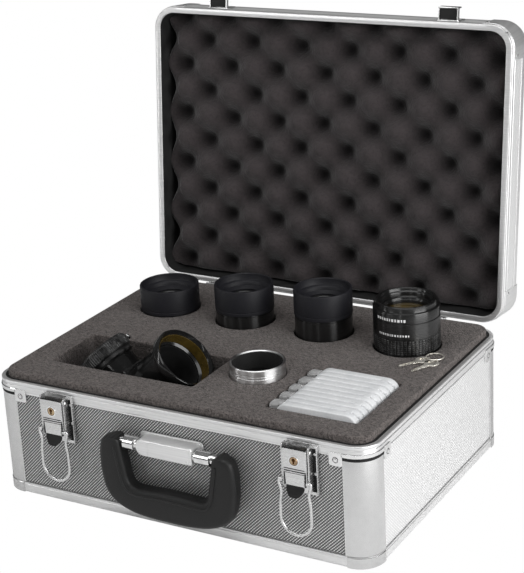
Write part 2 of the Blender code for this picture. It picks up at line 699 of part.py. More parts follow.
def build():
    clear_scene()
    base_shell()
    base_foam()
    foam_bed()
    lid = pivot_at("lid_pivot", (0, HINGE_Y, HINGE_Z), (-LID_OPEN, 0, 0))
    lid_shell(lid)
    for name, side in (("left", -1), ("right", 1)):
        x = MIDDLE_X + side * LATCH_X
        strike("lid_strike_" + name, x, lid)
        latch(name, x)
        hinge(name, side * HINGE_X, lid)
    handle()
    for index, (radius, rise) in enumerate(EYEPIECES):
        eyepiece(index + 1, row_x(index), radius, rise)
    barlow()
    diagonal()
    adapter_ring()
    middle = (FILTER_POCKET[2] + FILTER_POCKET[3]) / 2
    for index in range(FILTER_COUNT):
        filter_case(index + 1, middle + (index - (FILTER_COUNT - 1) / 2) * FILTER_PITCH)
    keys()


build()
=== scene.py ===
# %% [markdown]
# # An eyepiece kit in an aluminium case
# This lesson dresses a working model of a telescope accessory case: the moving solids are already there, and
# each cell adds a finish or a finer piece in the same place. Everything is in metres, +Z up, with the latches
# towards -Y. The first cell loads the solids.

# %% Load the working model
import json
import math

import bmesh
import bpy
import numpy as np
from mathutils import Matrix, Vector


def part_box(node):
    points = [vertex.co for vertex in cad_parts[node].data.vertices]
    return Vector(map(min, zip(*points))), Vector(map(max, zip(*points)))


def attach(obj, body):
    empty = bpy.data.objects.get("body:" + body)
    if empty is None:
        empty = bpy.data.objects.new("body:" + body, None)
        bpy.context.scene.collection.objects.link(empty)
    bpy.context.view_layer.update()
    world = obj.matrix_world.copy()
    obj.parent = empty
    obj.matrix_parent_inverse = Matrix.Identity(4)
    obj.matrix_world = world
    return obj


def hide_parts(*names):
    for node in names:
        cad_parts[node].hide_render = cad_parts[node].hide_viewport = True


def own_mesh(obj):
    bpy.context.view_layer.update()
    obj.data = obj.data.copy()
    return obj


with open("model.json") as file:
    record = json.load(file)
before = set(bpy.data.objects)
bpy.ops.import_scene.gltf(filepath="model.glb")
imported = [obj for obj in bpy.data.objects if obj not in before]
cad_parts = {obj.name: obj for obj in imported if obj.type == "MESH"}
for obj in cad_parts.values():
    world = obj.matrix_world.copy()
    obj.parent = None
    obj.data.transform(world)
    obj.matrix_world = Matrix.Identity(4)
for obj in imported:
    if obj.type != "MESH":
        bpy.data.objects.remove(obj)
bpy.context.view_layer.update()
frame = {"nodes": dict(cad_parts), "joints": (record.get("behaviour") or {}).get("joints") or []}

# %% [markdown]
# ## Measures
# A finer piece only fits if it is drawn from the solid it stands for. So the lengths below are read from
# the boxes of the solids, and only the few that a box can't tell, such as the corner radius, are written as
# numbers. Sections are written in millimetres from some origin, which is easier to read, and mm turns them
# into metres.

# %% Read the case's measures
MM = 0.001


def mm(points, origin=(0, 0, 0)):
    """Points in millimetres from an origin, as metres."""
    return [tuple(start + value * MM for start, value in zip(origin, point)) for point in points]


def joint(name):
    return next(item for item in frame["joints"] if item["name"] == name)


def middle(node):
    low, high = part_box(node)
    return (low + high) / 2


rim_low, rim_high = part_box("base_rim_frame")
HALF_W, HALF_D, RIM_TOP = rim_high
RAIL_LOW = rim_low.z
FOOT_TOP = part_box("base_bottom_frame")[1].z
CORNER_R, WALL, FIT = 22 * MM, 6 * MM, 0.3 * MM
FRONT = -HALF_D
FACE = FRONT - FIT
HINGE = Vector(joint("lid_hinge")["pos_m"])
LID_OPEN = math.radians(joint("lid_hinge")["range_deg"][1])
LID_LOW = RIM_TOP + FIT
LID_HIGH = LID_LOW + 36 * MM
X_AXIS, Y_AXIS, OUT_FRONT = (1, 0, 0), (0, 1, 0), (0, -1, 0)
print("case", round(2 * HALF_W, 4), "x", round(2 * HALF_D, 4), "m, rim at", round(RIM_TOP, 4))

# %% [markdown]
# ## Small tools for making pieces
# A case is mostly extrusions that follow a rounded rectangle, turned metal and pressed sheet. Each has a
# helper here that returns a closed mesh: all of them skin a row of loops, and differ in how the loops are
# placed.


# %% Outlines and plans
def soften(points, radius, steps=2, keep=()):
    """Rounds the corners of a closed outline, except those whose index is in keep."""
    done = []
    for i, point in enumerate(points):
        here, before, after = Vector(point), Vector(points[i - 1]), Vector(points[(i + 1) % len(points)])
        reach = min(radius, 0.45 * (before - here).length, 0.45 * (after - here).length)
        if i in keep or reach < 1e-6:
            done.append(tuple(here))
            continue
        start = here + (before - here).normalized() * reach
        end = here + (after - here).normalized() * reach
        for k in range(steps + 1):
            t = k / steps
            done.append(tuple(start * (1 - t) ** 2 + here * 2 * t * (1 - t) + end * t ** 2))
    return done


def arc(centre, radius, start, end, steps):
    """Points on an arc, angles in degrees."""
    turn = [math.radians(start + (end - start) * i / steps) for i in range(steps + 1)]
    return [(centre[0] + radius * math.cos(a), centre[1] + radius * math.sin(a)) for a in turn]


def circle(centre, radius, steps=64):
    return arc(centre, radius, 0, 360, steps)[:-1]


def rounded_box(x0, x1, y0, y1, radius, steps=8):
    """Outline of a rounded rectangle; radius is one number, or four from the low-x low-y corner round."""
    r = radius if isinstance(radius, tuple) else (radius,) * 4
    corners = ((x1 - r[1], y0 + r[1], r[1], -90), (x1 - r[2], y1 - r[2], r[2], 0),
               (x0 + r[3], y1 - r[3], r[3], 90), (x0 + r[0], y0 + r[0], r[0], 180))
    return [point for x, y, size, start in corners for point in arc((x, y), size, start, start + 90, steps)]


def outward(outline):
    """Unit directions out of a closed outline, whichever way round it runs."""
    flat = np.array(outline, float)[:, :2]
    ahead, behind = np.roll(flat, -1, 0), np.roll(flat, 1, 0)
    turn = np.sign((flat[:, 0] * ahead[:, 1] - ahead[:, 0] * flat[:, 1]).sum())
    first, second = flat - behind, ahead - flat
    along = first / (np.linalg.norm(first, axis=1, keepdims=True) + 1e-12)
    along = along + second / (np.linalg.norm(second, axis=1, keepdims=True) + 1e-12)
    along /= np.linalg.norm(along, axis=1, keepdims=True) + 1e-12
    return [Vector((y * turn, -x * turn)) for x, y in along]


def bend(corner, start=0, end=90, leg=0.0, grow=0.0, steps=14):
    """Stations (point, outward direction) round a corner of the case, with a straight leg at each end."""
    sign_x, sign_y, first_angle = corner
    centre = Vector((sign_x * (HALF_W - CORNER_R), sign_y * (HALF_D - CORNER_R)))
    stations = []
    for i in range(steps + 1):
        angle = math.radians(first_angle + start + (end - start) * i / steps)
        out = Vector((math.cos(angle), math.sin(angle)))
        stations.append((centre + (CORNER_R + grow) * out, out))
    if leg:
        (first, out_first), (last, out_last) = stations[0], stations[-1]
        stations.insert(0, (first + leg * Vector((out_first.y, -out_first.x)), out_first))
        stations.append((last + leg * Vector((-out_last.y, out_last.x)), out_last))
    return stations


CORNERS = {"front_right": (1, -1, -90), "back_right": (1, 1, 0), "back_left": (-1, 1, 90),
           "front_left": (-1, -1, 180)}
ring_plan = sum([bend(corner) for corner in CORNERS.values()], [])
print("plan stations:", len(ring_plan))


# %% Skins, extrusions, turned pieces and wires
def skin(loops, closed=False):
    """Joins loops of equal length with quads, and caps the ends of an open row."""
    mesh = bmesh.new()
    rings = [[mesh.verts.new(point) for point in loop] for loop in loops]
    pairs = list(zip(rings, rings[1:]))
    if closed:
        pairs.append((rings[-1], rings[0]))
    for low, high in pairs:
        for i in range(len(low)):
            j = (i + 1) % len(low)
            mesh.faces.new((low[i], low[j], high[j], high[i]))
    if not closed:
        mesh.faces.new(rings[0])
        mesh.faces.new(rings[-1])
    bmesh.ops.recalc_face_normals(mesh, faces=mesh.faces)
    return mesh


def extrusion(section, stations, closed=True):
    """Carries a section of (inset, height) points along stations."""
    return skin([[(*(point - out * inset), height) for inset, height in section]
                 for point, out in stations], closed)


def spun(mesh, matrix):
    """The mesh moved by a matrix."""
    bmesh.ops.transform(mesh, matrix=matrix, verts=mesh.verts)
    return mesh


def standing(centre, axis):
    """The matrix that turns +Z to an axis and moves the origin to a centre."""
    turn = Vector((0, 0, 1)).rotation_difference(Vector(axis)).to_matrix().to_4x4()
    return Matrix.Translation(centre) @ turn


def turned(profile, centre=(0, 0, 0), steps=72, ring=True, axis=(0, 0, 1)):
    """Turns (radius, height) points about an axis: a closed ring, or an open profile with capped ends."""
    angles = [2 * math.pi * i / steps for i in range(steps)]
    mesh = skin([[(r * math.cos(a), r * math.sin(a), h) for a in angles] for r, h in profile], ring)
    return spun(mesh, standing(centre, axis))


def rod(radius, half, centre, axis, steps=40):
    """A plain cylinder about a centre, its radius and half length in millimetres."""
    return turned(mm([(radius, -half), (radius, half)]), centre, steps, False, axis)


def dome(radius, rise, base, steps):
    """Profile of a lens face above a base height, its radius and rise in millimetres."""
    turns = [1.5 * k / steps for k in range(1, steps + 1)]
    return mm([(radius * math.cos(a), rise * math.sin(a)) for a in turns], (0, base))


def on_axis(point, height, axis):
    """A flat point lifted off its plane: (y, z) points for X, (x, z) for Y, (x, y) for Z."""
    return {"X": (height, *point), "Y": (point[0], height, point[1]), "Z": (*point, height)}[axis]


def slab(outline, low, high, edge=0.0, axis="Z", steps=3, lower=None):
    """Extrudes an outline, with both rims rounded by edge; lower rounds the low rim differently."""
    first = edge if lower is None else lower
    curve = [math.pi / 2 * k / steps for k in range(steps + 1)]
    levels = [(low, 0.0), (high, 0.0)]
    if edge:
        levels = [(low + first * (1 - math.sin(a)), first * (1 - math.cos(a))) for a in reversed(curve)]
        levels += [(high - edge * (1 - math.sin(a)), edge * (1 - math.cos(a))) for a in curve]
    outs = outward(outline)
    return skin([[on_axis(Vector(p[:2]) - out * inset, height, axis) for p, out in zip(outline, outs)]
                 for height, inset in levels])


def block(low, high, edge=0.0, radius=0.0, axis="Z"):
    """A box between two corners, with rounded corners in its plan and rounded rims."""
    a, b, c = {"X": (1, 2, 0), "Y": (0, 2, 1), "Z": (0, 1, 2)}[axis]
    outline = [(low[a], low[b]), (high[a], low[b]), (high[a], high[b]), (low[a], high[b])]
    if radius or edge:
        round_r = radius if isinstance(radius, tuple) else max(radius, edge * 1.05)
        outline = rounded_box(low[a], high[a], low[b], high[b], round_r, 5)
    return slab(outline, low[c], high[c], edge, axis)


def block_at(origin, low, high, edge=0.0, radius=0.0, axis="Z"):
    """A block whose corners, edge and radius are in millimetres, measured from an origin."""
    low, high = mm([low, high], origin)
    return block(low, high, edge * MM, radius * MM, axis)


def wire(points, radius, sides):
    """A round rod along an open path."""
    loops, side = [], None
    for i, point in enumerate(points):
        along = (points[min(i + 1, len(points) - 1)] - points[max(i - 1, 0)]).normalized()
        if side is None:
            side = along.orthogonal().normalized()
        side = (side - along * side.dot(along)).normalized()
        up = along.cross(side)
        turns = [2 * math.pi * k / sides for k in range(sides)]
        loops.append([point + radius * (side * math.cos(a) + up * math.sin(a)) for a in turns])
    return skin(loops)


def curve_through(points, steps=6):
    """A smooth path through points of any dimension."""
    spots = [Vector(p) for p in points]
    last = len(spots) - 1
    path = []
    for i in range(last):
        a, b, c, d = spots[max(i - 1, 0)], spots[i], spots[i + 1], spots[min(i + 2, last)]
        for k in range(steps):
            t = k / steps
            path.append(0.5 * (2 * b + (c - a) * t + (2 * a - 5 * b + 4 * c - d) * t * t
                               + (3 * b - a - 3 * c + d) * t ** 3))
    return path + [spots[-1]]


def merge(*meshes):
    """Puts several closed meshes into one, without joining their surfaces."""
    whole = bmesh.new()
    for mesh in meshes:
        part = bpy.data.meshes.new("part")
        mesh.to_mesh(part)
        mesh.free()
        whole.from_mesh(part)
        bpy.data.meshes.remove(part)
    return whole


def carve(solid, *tools, join=False):
    """Cuts the tools out of a mesh, or joins them to it, with Booleans."""
    made = []
    for mesh in (solid, *tools):
        data = bpy.data.meshes.new("carve")
        mesh.to_mesh(data)
        mesh.free()
        made.append(bpy.data.objects.new("carve", data))
        bpy.context.scene.collection.objects.link(made[-1])
    body = made[0]
    for tool in made[1:]:
        step = body.modifiers.new("cut", "BOOLEAN")
        step.operation = "UNION" if join else "DIFFERENCE"
        step.solver = "EXACT"
        step.object = tool
    bpy.context.view_layer.update()
    result = body.evaluated_get(bpy.context.evaluated_depsgraph_get()).to_mesh()
    mesh = bmesh.new()
    mesh.from_mesh(result)
    for item in made:
        bpy.data.objects.remove(item, do_unlink=True)
    return mesh


OPEN_LID = Matrix.Translation(HINGE) @ Matrix.Rotation(-LID_OPEN, 4, "X") @ Matrix.Translation(-HINGE)
print("lid opens by", round(math.degrees(LID_OPEN), 1), "degrees")


# %% Finish a piece and hang it on its body
def piece(name, mesh, body, slot_name, finish, stands_for=None, sharp=34, fill=None):
    """Makes the object, marks its bent edges for the wear and the painted edge highlight, and hangs it on a
    body.
    """
    for edge in mesh.edges:
        edge.smooth = len(edge.link_faces) == 2 and edge.calc_face_angle(0) < math.radians(sharp)
    wear_and_highlight = mesh.verts.layers.float.new("edge")
    for vert in mesh.verts:
        bends = [edge.calc_face_angle_signed(0) for edge in vert.link_edges if len(edge.link_faces) == 2]
        vert[wear_and_highlight] = min(1.0, max([0.0, *bends]) / 0.6)
    for face in mesh.faces:
        face.smooth = True
    data = bpy.data.meshes.new(name)
    mesh.to_mesh(data)
    mesh.free()
    data.materials.append(finish)
    item = bpy.data.objects.new(name, data)
    bpy.context.scene.collection.objects.link(item)
    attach(item, body)
    if stands_for:
        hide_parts(stands_for)
    return item


def trim_piece(name, mesh, finish, **rest):
    """A piece of the lower half."""
    return piece(name, mesh, "base", "aluminium_trim", finish, **rest)


def lid_piece(name, mesh, slot_name, finish, **rest):
    """A piece of the lid, drawn with the lid closed and then swung open."""
    return piece(name, spun(mesh, OPEN_LID), "lid", slot_name, finish, **rest)


print("helpers ready")

# %% [markdown]
# ## Shared surface effects
# Real surfaces are never even. These node groups are small reusable effects: each takes a scale or an amount
# and gives back a mask, a value or a normal, so that one effect can serve many materials.


# %% Node groups
class Maker:
    """Adds shader nodes to a tree and links them by name."""

    def __init__(self, tree):
        self.tree = tree
        self.x = -1200

    def put(self, value, socket):
        """Links another socket to this one, or sets a constant on it."""
        if isinstance(value, bpy.types.NodeSocket):
            self.tree.links.new(value, socket)
        else:
            socket.default_value = value

    def add(self, kind, values=None, **settings):
        node = self.tree.nodes.new("ShaderNode" + kind)
        node.location = (self.x, 0)
        self.x += 160
        for key, value in settings.items():
            setattr(node, key, value)
        for key, value in (values or {}).items():
            self.put(value, node.inputs[key])
        return node

    def math(self, operation, a, b=0.0, c=0.0):
        return self.add("Math", {0: a, 1: b, 2: c}, operation=operation).outputs[0]

    def mix(self, factor, a, b):
        return self.add("Mix", {0: factor, 6: a, 7: b}, data_type="RGBA").outputs[2]

    def remap(self, value, low, high, to_low=0.0, to_high=1.0):
        values = {"Value": value, "From Min": low, "From Max": high, "To Min": to_low, "To Max": to_high}
        return self.add("MapRange", values).outputs[0]

    def spot(self):
        """The shaded point, in the piece's own frame."""
        return self.add("TexCoord").outputs["Object"]

    def parts(self):
        """The shaded point's three coordinates."""
        return self.add("SeparateXYZ", {"Vector": self.spot()}).outputs

    def noise(self, vector, scale, detail):
        return self.add("TexNoise", {"Vector": vector, "Scale": scale, "Detail": detail}).outputs[0]

    def bump(self, strength, distance, height):
        return self.add("Bump", {"Strength": strength, "Distance": distance, "Height": height}).outputs[0]


def group(name, inputs, outputs=("Mask",)):
    """An empty node group with float inputs {name: default} and outputs, of which Normal is a vector."""
    tree = bpy.data.node_groups.new(name, "ShaderNodeTree")
    for label, value in inputs.items():
        tree.interface.new_socket(label, in_out="INPUT", socket_type="NodeSocketFloat").default_value = value
    for label in outputs:
        kind = "NodeSocketVector" if label == "Normal" else "NodeSocketFloat"
        tree.interface.new_socket(label, in_out="OUTPUT", socket_type=kind)
    start, end = tree.nodes.new("NodeGroupInput"), tree.nodes.new("NodeGroupOutput")
    start.location, end.location = (-1400, 0), (1400, 0)
    return Maker(tree), start.outputs, end.inputs


m, given, result = group("Surface variation", {"Scale": 30.0, "Amount": 1.0})
spot = m.spot()
broad = m.noise(spot, given["Scale"], 3.0)
fine = m.noise(spot, m.math("MULTIPLY", given["Scale"], 9.0), 2.0)
both = m.math("MULTIPLY_ADD", fine, 0.35, m.math("MULTIPLY", broad, 0.65))
m.put(m.math("MULTIPLY", m.remap(both, 0.35, 0.65), given["Amount"]), result["Mask"])
SMUDGES = m.tree

# Lightens bent edges: partly wear, partly a painted highlight on the knurls.
m, given, result = group("Edge wear and painted highlight", {"Amount": 1.0, "Patchiness": 60.0})
bent = m.add("Attribute", attribute_name="edge").outputs["Fac"]
patch = m.noise(m.spot(), given["Patchiness"], 4.0)
rubbed_and_highlighted = m.math("MULTIPLY", bent, m.remap(patch, 0.42, 0.62))
m.put(m.math("MULTIPLY", rubbed_and_highlighted, given["Amount"]), result["Mask"])
EDGE_WEAR_AND_HIGHLIGHT = m.tree

m, given, result = group("Drawn lines", {"Across": 900.0, "Along": 12.0, "Depth": 0.1}, ("Mask", "Normal"))
parts = m.parts()
run = m.math("MULTIPLY", m.math("ADD", parts["X"], parts["Y"]), given["Along"])
climb = m.math("MULTIPLY", parts["Z"], given["Across"])
line = m.noise(m.add("CombineXYZ", {"X": run, "Y": climb}).outputs[0], 1.0, 2.0)
m.put(line, result["Mask"])
m.put(m.bump(given["Depth"], 0.0002, line), result["Normal"])
DRAWN = m.tree
print("groups:", SMUDGES.name, EDGE_WEAR_AND_HIGHLIGHT.name, DRAWN.name)

# %% [markdown]
# Pressed aluminium sheet has a lattice of short slanting ridges. Two families of waves cross: the strong one
# makes the slanting rows, the weak one breaks each row into dashes. Foam is a fine grain with open cells.

# %% Emboss, stitch and foam groups
m, given, result = group("Pressed lattice", {"Pitch": 0.0029, "Depth": 0.5, "Cross": 0.5, "Side": 0.0},
                         ("Mask", "Normal"))
parts = m.parts()
level = m.math("ADD", parts["X"], m.math("MULTIPLY", m.math("SUBTRACT", parts["Y"], parts["X"]),
                                         given["Side"]))
turn = m.math("MULTIPLY", m.math("DIVIDE", 2 * math.pi, given["Pitch"]), 0.7071)
rows = m.math("COSINE", m.math("MULTIPLY", m.math("SUBTRACT", level, parts["Z"]), turn))
cuts = m.math("COSINE", m.math("MULTIPLY", m.math("ADD", level, parts["Z"]), turn))
dash = m.remap(cuts, -0.9, 0.1, m.math("SUBTRACT", 1.0, given["Cross"]), 1.0)
# The same height also colours the sheet: the grooves between the ridges are painted darker, as painted shade.
height = m.math("MULTIPLY", m.remap(rows, -0.15, 0.75), dash)
m.put(height, result["Mask"])
m.put(m.bump(given["Depth"], 0.0004, height), result["Normal"])
LATTICE = m.tree

m, given, result = group("Stitches", {"Pitch": 0.0028, "Share": 0.0})
parts = m.parts()
run = m.math("ADD", m.math("ADD", parts["X"], parts["Y"]), parts["Z"])
beat = m.math("COSINE", m.math("DIVIDE", m.math("MULTIPLY", run, 2 * math.pi), given["Pitch"]))
m.put(m.remap(beat, m.math("SUBTRACT", given["Share"], 0.15), given["Share"]), result["Mask"])
STITCHES = m.tree

# The mask is darker in each cell's hollow, which is painted shade, with a random grain on top; it colours the
# foams, rubber and plastic.
m, given, result = group("Foam cells", {"Cell size": 0.0016, "Depth": 0.6}, ("Mask", "Normal"))
spot = m.spot()
rate = m.math("DIVIDE", 1.0, given["Cell size"])
holes = m.add("TexVoronoi", {"Vector": spot, "Scale": rate}).outputs["Distance"]
grain = m.noise(spot, m.math("MULTIPLY", rate, 0.55), 5.0)
height = m.math("ADD", m.remap(holes, 0.05, 0.6), m.remap(grain, 0.3, 0.7))
m.put(m.math("MULTIPLY", height, 0.5), result["Mask"])
m.put(m.bump(given["Depth"], 0.0006, height), result["Normal"])
CELLS = m.tree
print("groups:", LATTICE.name, STITCHES.name, CELLS.name)

# %% [markdown]
# ## Materials
# Each material starts from one Principled shader. Constant values are set on its sockets; only what varies
# over the surface is linked. The finishes are: satin, drawn and pressed aluminium, chrome plate, brass, two
# foams, rubber, moulded plastic, gloss anodising, coated glass, a mirror and frosted plastic.


# %% Material tools
def rgba(colour):
    """A colour with alpha, from a grey level or from red, green and blue."""
    return (*colour, 1.0) if isinstance(colour, tuple) else (colour, colour, colour, 1.0)


def finish(name, colour, roughness, metallic=0.0, **constants):
    """A material with one Principled shader; constants are given by socket name with underscores."""
    made = bpy.data.materials.new(name)
    made.use_nodes = True
    shader = made.node_tree.nodes["Principled BSDF"]
    values = {"Base Color": rgba(colour), "Roughness": roughness, "Metallic": metallic, **constants}
    for key, value in values.items():
        shader.inputs[key.replace("_", " ")].default_value = value
    return made


def effect(made, tree, **values):
    """Adds a shared effect to a material and returns its outputs."""
    node = made.node_tree.nodes.new("ShaderNodeGroup")
    node.node_tree = tree
    for key, value in values.items():
        node.inputs[key.replace("_", " ")].default_value = value
    return node.outputs


def vary(made, mask, colours, roughness=None, normal=None):
    """Drives colour and roughness between two values with a mask, and sets the normal."""
    shader = made.node_tree.nodes["Principled BSDF"]
    m = Maker(made.node_tree)
    m.put(m.mix(mask, rgba(colours[0]), rgba(colours[1])), shader.inputs["Base Color"])
    if roughness:
        m.put(m.remap(mask, 0.0, 1.0, *roughness), shader.inputs["Roughness"])
    if normal:
        m.put(normal, shader.inputs["Normal"])
    return made


def coat(made, scale, colours, roughness=None):
    """Varies a material with smudges."""
    return vary(made, effect(made, SMUDGES, Scale=scale)["Mask"], colours, roughness)


def grain(made, tree, colours, roughness=None, **values):
    """Varies a material with a shared effect that also gives a normal."""
    given = effect(made, tree, **values)
    return vary(made, given["Mask"], colours, roughness, given["Normal"])


print("material tools ready")

# %% Metals
satin = grain(finish("Satin aluminium", 0.62, 0.36, 0.8), DRAWN, (0.60, 0.82), (0.26, 0.42),
              Across=700.0, Along=9.0, Depth=0.12)
smooth_satin = coat(finish("Smooth satin aluminium", 0.60, 0.22, 1.0), 25.0, (0.56, 0.63), (0.20, 0.26))
bright_satin = grain(finish("Bright satin metal", 0.92, 0.28, 1.0, Anisotropic=0.9,
                            Anisotropic_Rotation=0.25), DRAWN, (0.85, 0.98), (0.24, 0.34), Across=2600.0,
                     Along=3.0, Depth=0.35)
chrome = coat(finish("Chrome plate", 0.82, 0.1, 1.0), 22.0, (0.66, 0.82), (0.10, 0.22))
dull_chrome = grain(finish("Brushed plate", 0.74, 0.28, 0.95), DRAWN, (0.52, 0.74), (0.20, 0.34),
                    Across=900.0, Along=20.0, Depth=0.2)
brass = coat(finish("Brass", (0.42, 0.30, 0.18), 0.2, 1.0), 90.0, ((0.25, 0.16, 0.10), (0.55, 0.42, 0.26)),
             (0.15, 0.28))
key_metal = coat(finish("Key plate", (0.86, 0.83, 0.76), 0.3, 0.8), 200.0,
                 ((0.74, 0.70, 0.62), (0.94, 0.91, 0.84)), (0.2, 0.4))
seam_dark = finish("Seam", 0.05, 0.7)
vary(seam_dark, effect(seam_dark, STITCHES, Pitch=0.0028)["Mask"], (0.015, 0.30), (0.5, 0.8))


def pressed_sheet(name, dark, light, side, depth):
    return grain(finish(name, light, 0.42, 0.55), LATTICE, (dark, light), (0.55, 0.34),
                 Pitch=0.0021, Depth=depth, Cross=0.75, Side=side)


# Three copies of one sheet: the side copy is painted lighter, as painted light from the right-hand lamp, and
# the front and lower copies are painted darker, as painted shade.
front_sheet_painted_shade = pressed_sheet("Pressed sheet across, painted shade", 0.11, 0.84, 0.0, 1.0)
side_sheet_painted_light = pressed_sheet("Pressed sheet along, painted light", 0.58, 0.97, 1.0, 0.5)
under_sheet_painted_shade = pressed_sheet("Pressed sheet below, painted shade", 0.40, 0.62, 0.5, 0.3)
print("metals:", satin.name, chrome.name, brass.name, front_sheet_painted_shade.name)

# %% Foams, rubber, plastics and glass
foam = grain(finish("Cut foam", (0.072, 0.064, 0.060), 0.95, Sheen_Weight=0.1, Specular_IOR_Level=0.1),
             CELLS, ((0.004, 0.003, 0.003), (0.150, 0.132, 0.125)), Cell_size=0.0015, Depth=1.0)

egg_foam = finish("Egg crate foam", (0.030, 0.028, 0.028), 0.95, Sheen_Weight=0.2, Specular_IOR_Level=0.1)
cells = effect(egg_foam, CELLS, Cell_size=0.0019, Depth=0.45)
m = Maker(egg_foam.node_tree)
# The dimples are painted darker from the foam's thickness, read from the height attribute: painted shade in
# the hollows.
sunk = m.add("Attribute", attribute_name="height").outputs["Fac"]
dimple_shade = m.math("MULTIPLY", m.remap(sunk, 0.0, 0.8, 0.03, 1.0), m.remap(cells["Mask"], 0.0, 1.0, 0.6, 1.1))
vary(egg_foam, dimple_shade, ((0.003, 0.0026, 0.0027), (0.040, 0.034, 0.035)), None, cells["Normal"])

rubber = grain(finish("Matte rubber", 0.008, 0.6, Specular_IOR_Level=0.28), CELLS,
               ((0.005, 0.005, 0.007), (0.010, 0.010, 0.013)), (0.62, 0.48), Cell_size=0.0006, Depth=0.12)
moulded = grain(finish("Moulded plastic", 0.010, 0.5, Specular_IOR_Level=0.3), CELLS, (0.004, 0.009),
                (0.56, 0.42), Cell_size=0.0007, Depth=0.15)
gloss_black = coat(finish("Gloss anodised", 0.005, 0.14, Specular_IOR_Level=0.35, Coat_Weight=0.15,
                          Coat_Roughness=0.08), 50.0, (0.004, 0.009), (0.10, 0.22))
turned_black = finish("Turned gloss black", 0.004, 0.36, Specular_IOR_Level=0.6, Anisotropic=0.95,
                      Anisotropic_Rotation=0.25)
vary(turned_black, effect(turned_black, DRAWN, Across=1500.0, Along=0.5)["Mask"], (0.002, 0.006),
     (0.25, 0.31))
matte_black = coat(finish("Matte black paint", 0.010, 0.7, Specular_IOR_Level=0.25), 80.0, (0.006, 0.016),
                   (0.6, 0.8))
# The knurls' edges are painted lighter: partly wear, partly a painted highlight.
knurl_black = finish("Knurled grip", 0.008, 0.28, Specular_IOR_Level=0.5)
vary(knurl_black, effect(knurl_black, EDGE_WEAR_AND_HIGHLIGHT, Amount=0.4, Patchiness=150.0)["Mask"], (0.004, 0.12),
     (0.30, 0.20))
amber = coat(finish("Coated glass", (0.06, 0.035, 0.006), 0.03, Coat_Weight=0.6, Coat_Roughness=0.02,
                    Specular_IOR_Level=0.8), 18.0, ((0.030, 0.020, 0.004), (0.105, 0.070, 0.016)))
pupil = coat(finish("Eye lens", (0.020, 0.016, 0.022), 0.03, Coat_Weight=1.0, Coat_Roughness=0.02,
                    Specular_IOR_Level=0.9), 40.0, ((0.008, 0.008, 0.010), (0.045, 0.035, 0.050)))
silvered = coat(finish("Mirror", (0.80, 0.76, 0.82), 0.04, 1.0), 30.0,
                ((0.70, 0.66, 0.74), (0.88, 0.85, 0.9)))
frosted = coat(finish("Frosted plastic", 0.84, 0.35, Transmission_Weight=0.25, IOR=1.49,
                      Specular_IOR_Level=0.5), 60.0, ((0.76, 0.775, 0.79), (0.90, 0.91, 0.92)),
               (0.28, 0.45))
clear = coat(finish("Clear plastic", 0.80, 0.18, Transmission_Weight=0.6, IOR=1.49, Alpha=0.85), 60.0,
             (0.70, 0.90), (0.12, 0.3))
mark = coat(finish("White print", 0.72, 0.5), 300.0, (0.60, 0.82))
print("materials:", len(bpy.data.materials))

# %% [markdown]
# ## The lower half of the case
# The rim and the foot are aluminium extrusions bent round the plan. Their sections carry what a real one
# has: a rolled lip, a groove for the panel's edge, and softened corners that catch the light.

# %% Rim and foot extrusions
rim = mm([(0.0, -0.6), (0.6, 0), (5, 0), (6, -0.6)], (0, RIM_TOP))
rim += mm([(6, 0), (0, 0), (0, 0.5), (0.5, 0.8), (0.5, 1.5), (0, 1.8)], (0, RAIL_LOW))
rim += mm([(0, -4.4), (0.7, -4.0), (0.7, -3.2), (0, -2.8)], (0, RIM_TOP))
trim_piece("rim_extrusion", extrusion(soften(rim, 0.3 * MM), ring_plan), satin, stands_for="base_rim_frame")
foot = mm([(0, 0), (0, -1.2), (0.4, -1.5), (0.4, -2.1), (0, -2.4)], (0, FOOT_TOP))
foot += mm([(0, 1.8), (1.8, 0), (6, 0)]) + [(WALL, FOOT_TOP)]
trim_piece("foot_extrusion", extrusion(soften(foot, 0.5 * MM), ring_plan), satin,
           stands_for="base_bottom_frame")
print("rim section", len(rim), "points, foot section", len(foot))

# %% [markdown]
# A post closes each corner between the panels. It is drawn in plan, with a small lip that laps the panel, and
# then pulled upwards.

# %% Corner posts
post_low, post_high = FOOT_TOP + FIT, RAIL_LOW - FIT
for name, corner in CORNERS.items():
    outer = bend(corner, leg=3 * MM)
    outline = [tuple(point) for point, out in outer]
    outline += [tuple(point - out * 4.5 * MM) for point, out in reversed(outer)]
    trim_piece("post_" + name, slab(outline, post_low, post_high, 0.5 * MM), smooth_satin,
               stands_for="base_post_" + name)
    for side, (point, out), along in (("a", outer[0], -1), ("b", outer[-1], 1)):
        run = Vector((-out.y, out.x)) * along
        lip = [tuple(point + run * a - out * b)
               for a, b in mm([(-0.2, 0.9), (0.9, 0.9), (0.9, 0.35), (-0.2, 0.1)])]
        trim_piece(f"post_lip_{name}_{side}", slab(lip, post_low, post_high), satin)
print("posts from", round(post_low, 4), "to", round(post_high, 4))

# %% [markdown]
# The panels themselves stay as the working solids and take the pressed finish. A dark seam runs along their
# top and bottom edges, where the sheet goes into the extrusion.

# %% Panels and seams
sheets = {"base_front_panel": front_sheet_painted_shade, "base_back_panel": front_sheet_painted_shade, "base_left_panel": side_sheet_painted_light,
          "base_right_panel": side_sheet_painted_light, "base_bottom_panel": under_sheet_painted_shade, "lid_panel": under_sheet_painted_shade}
for name, sheet in sheets.items():
    slots = frame["nodes"][name].data.materials
    slots.clear()
    slots.append(sheet)

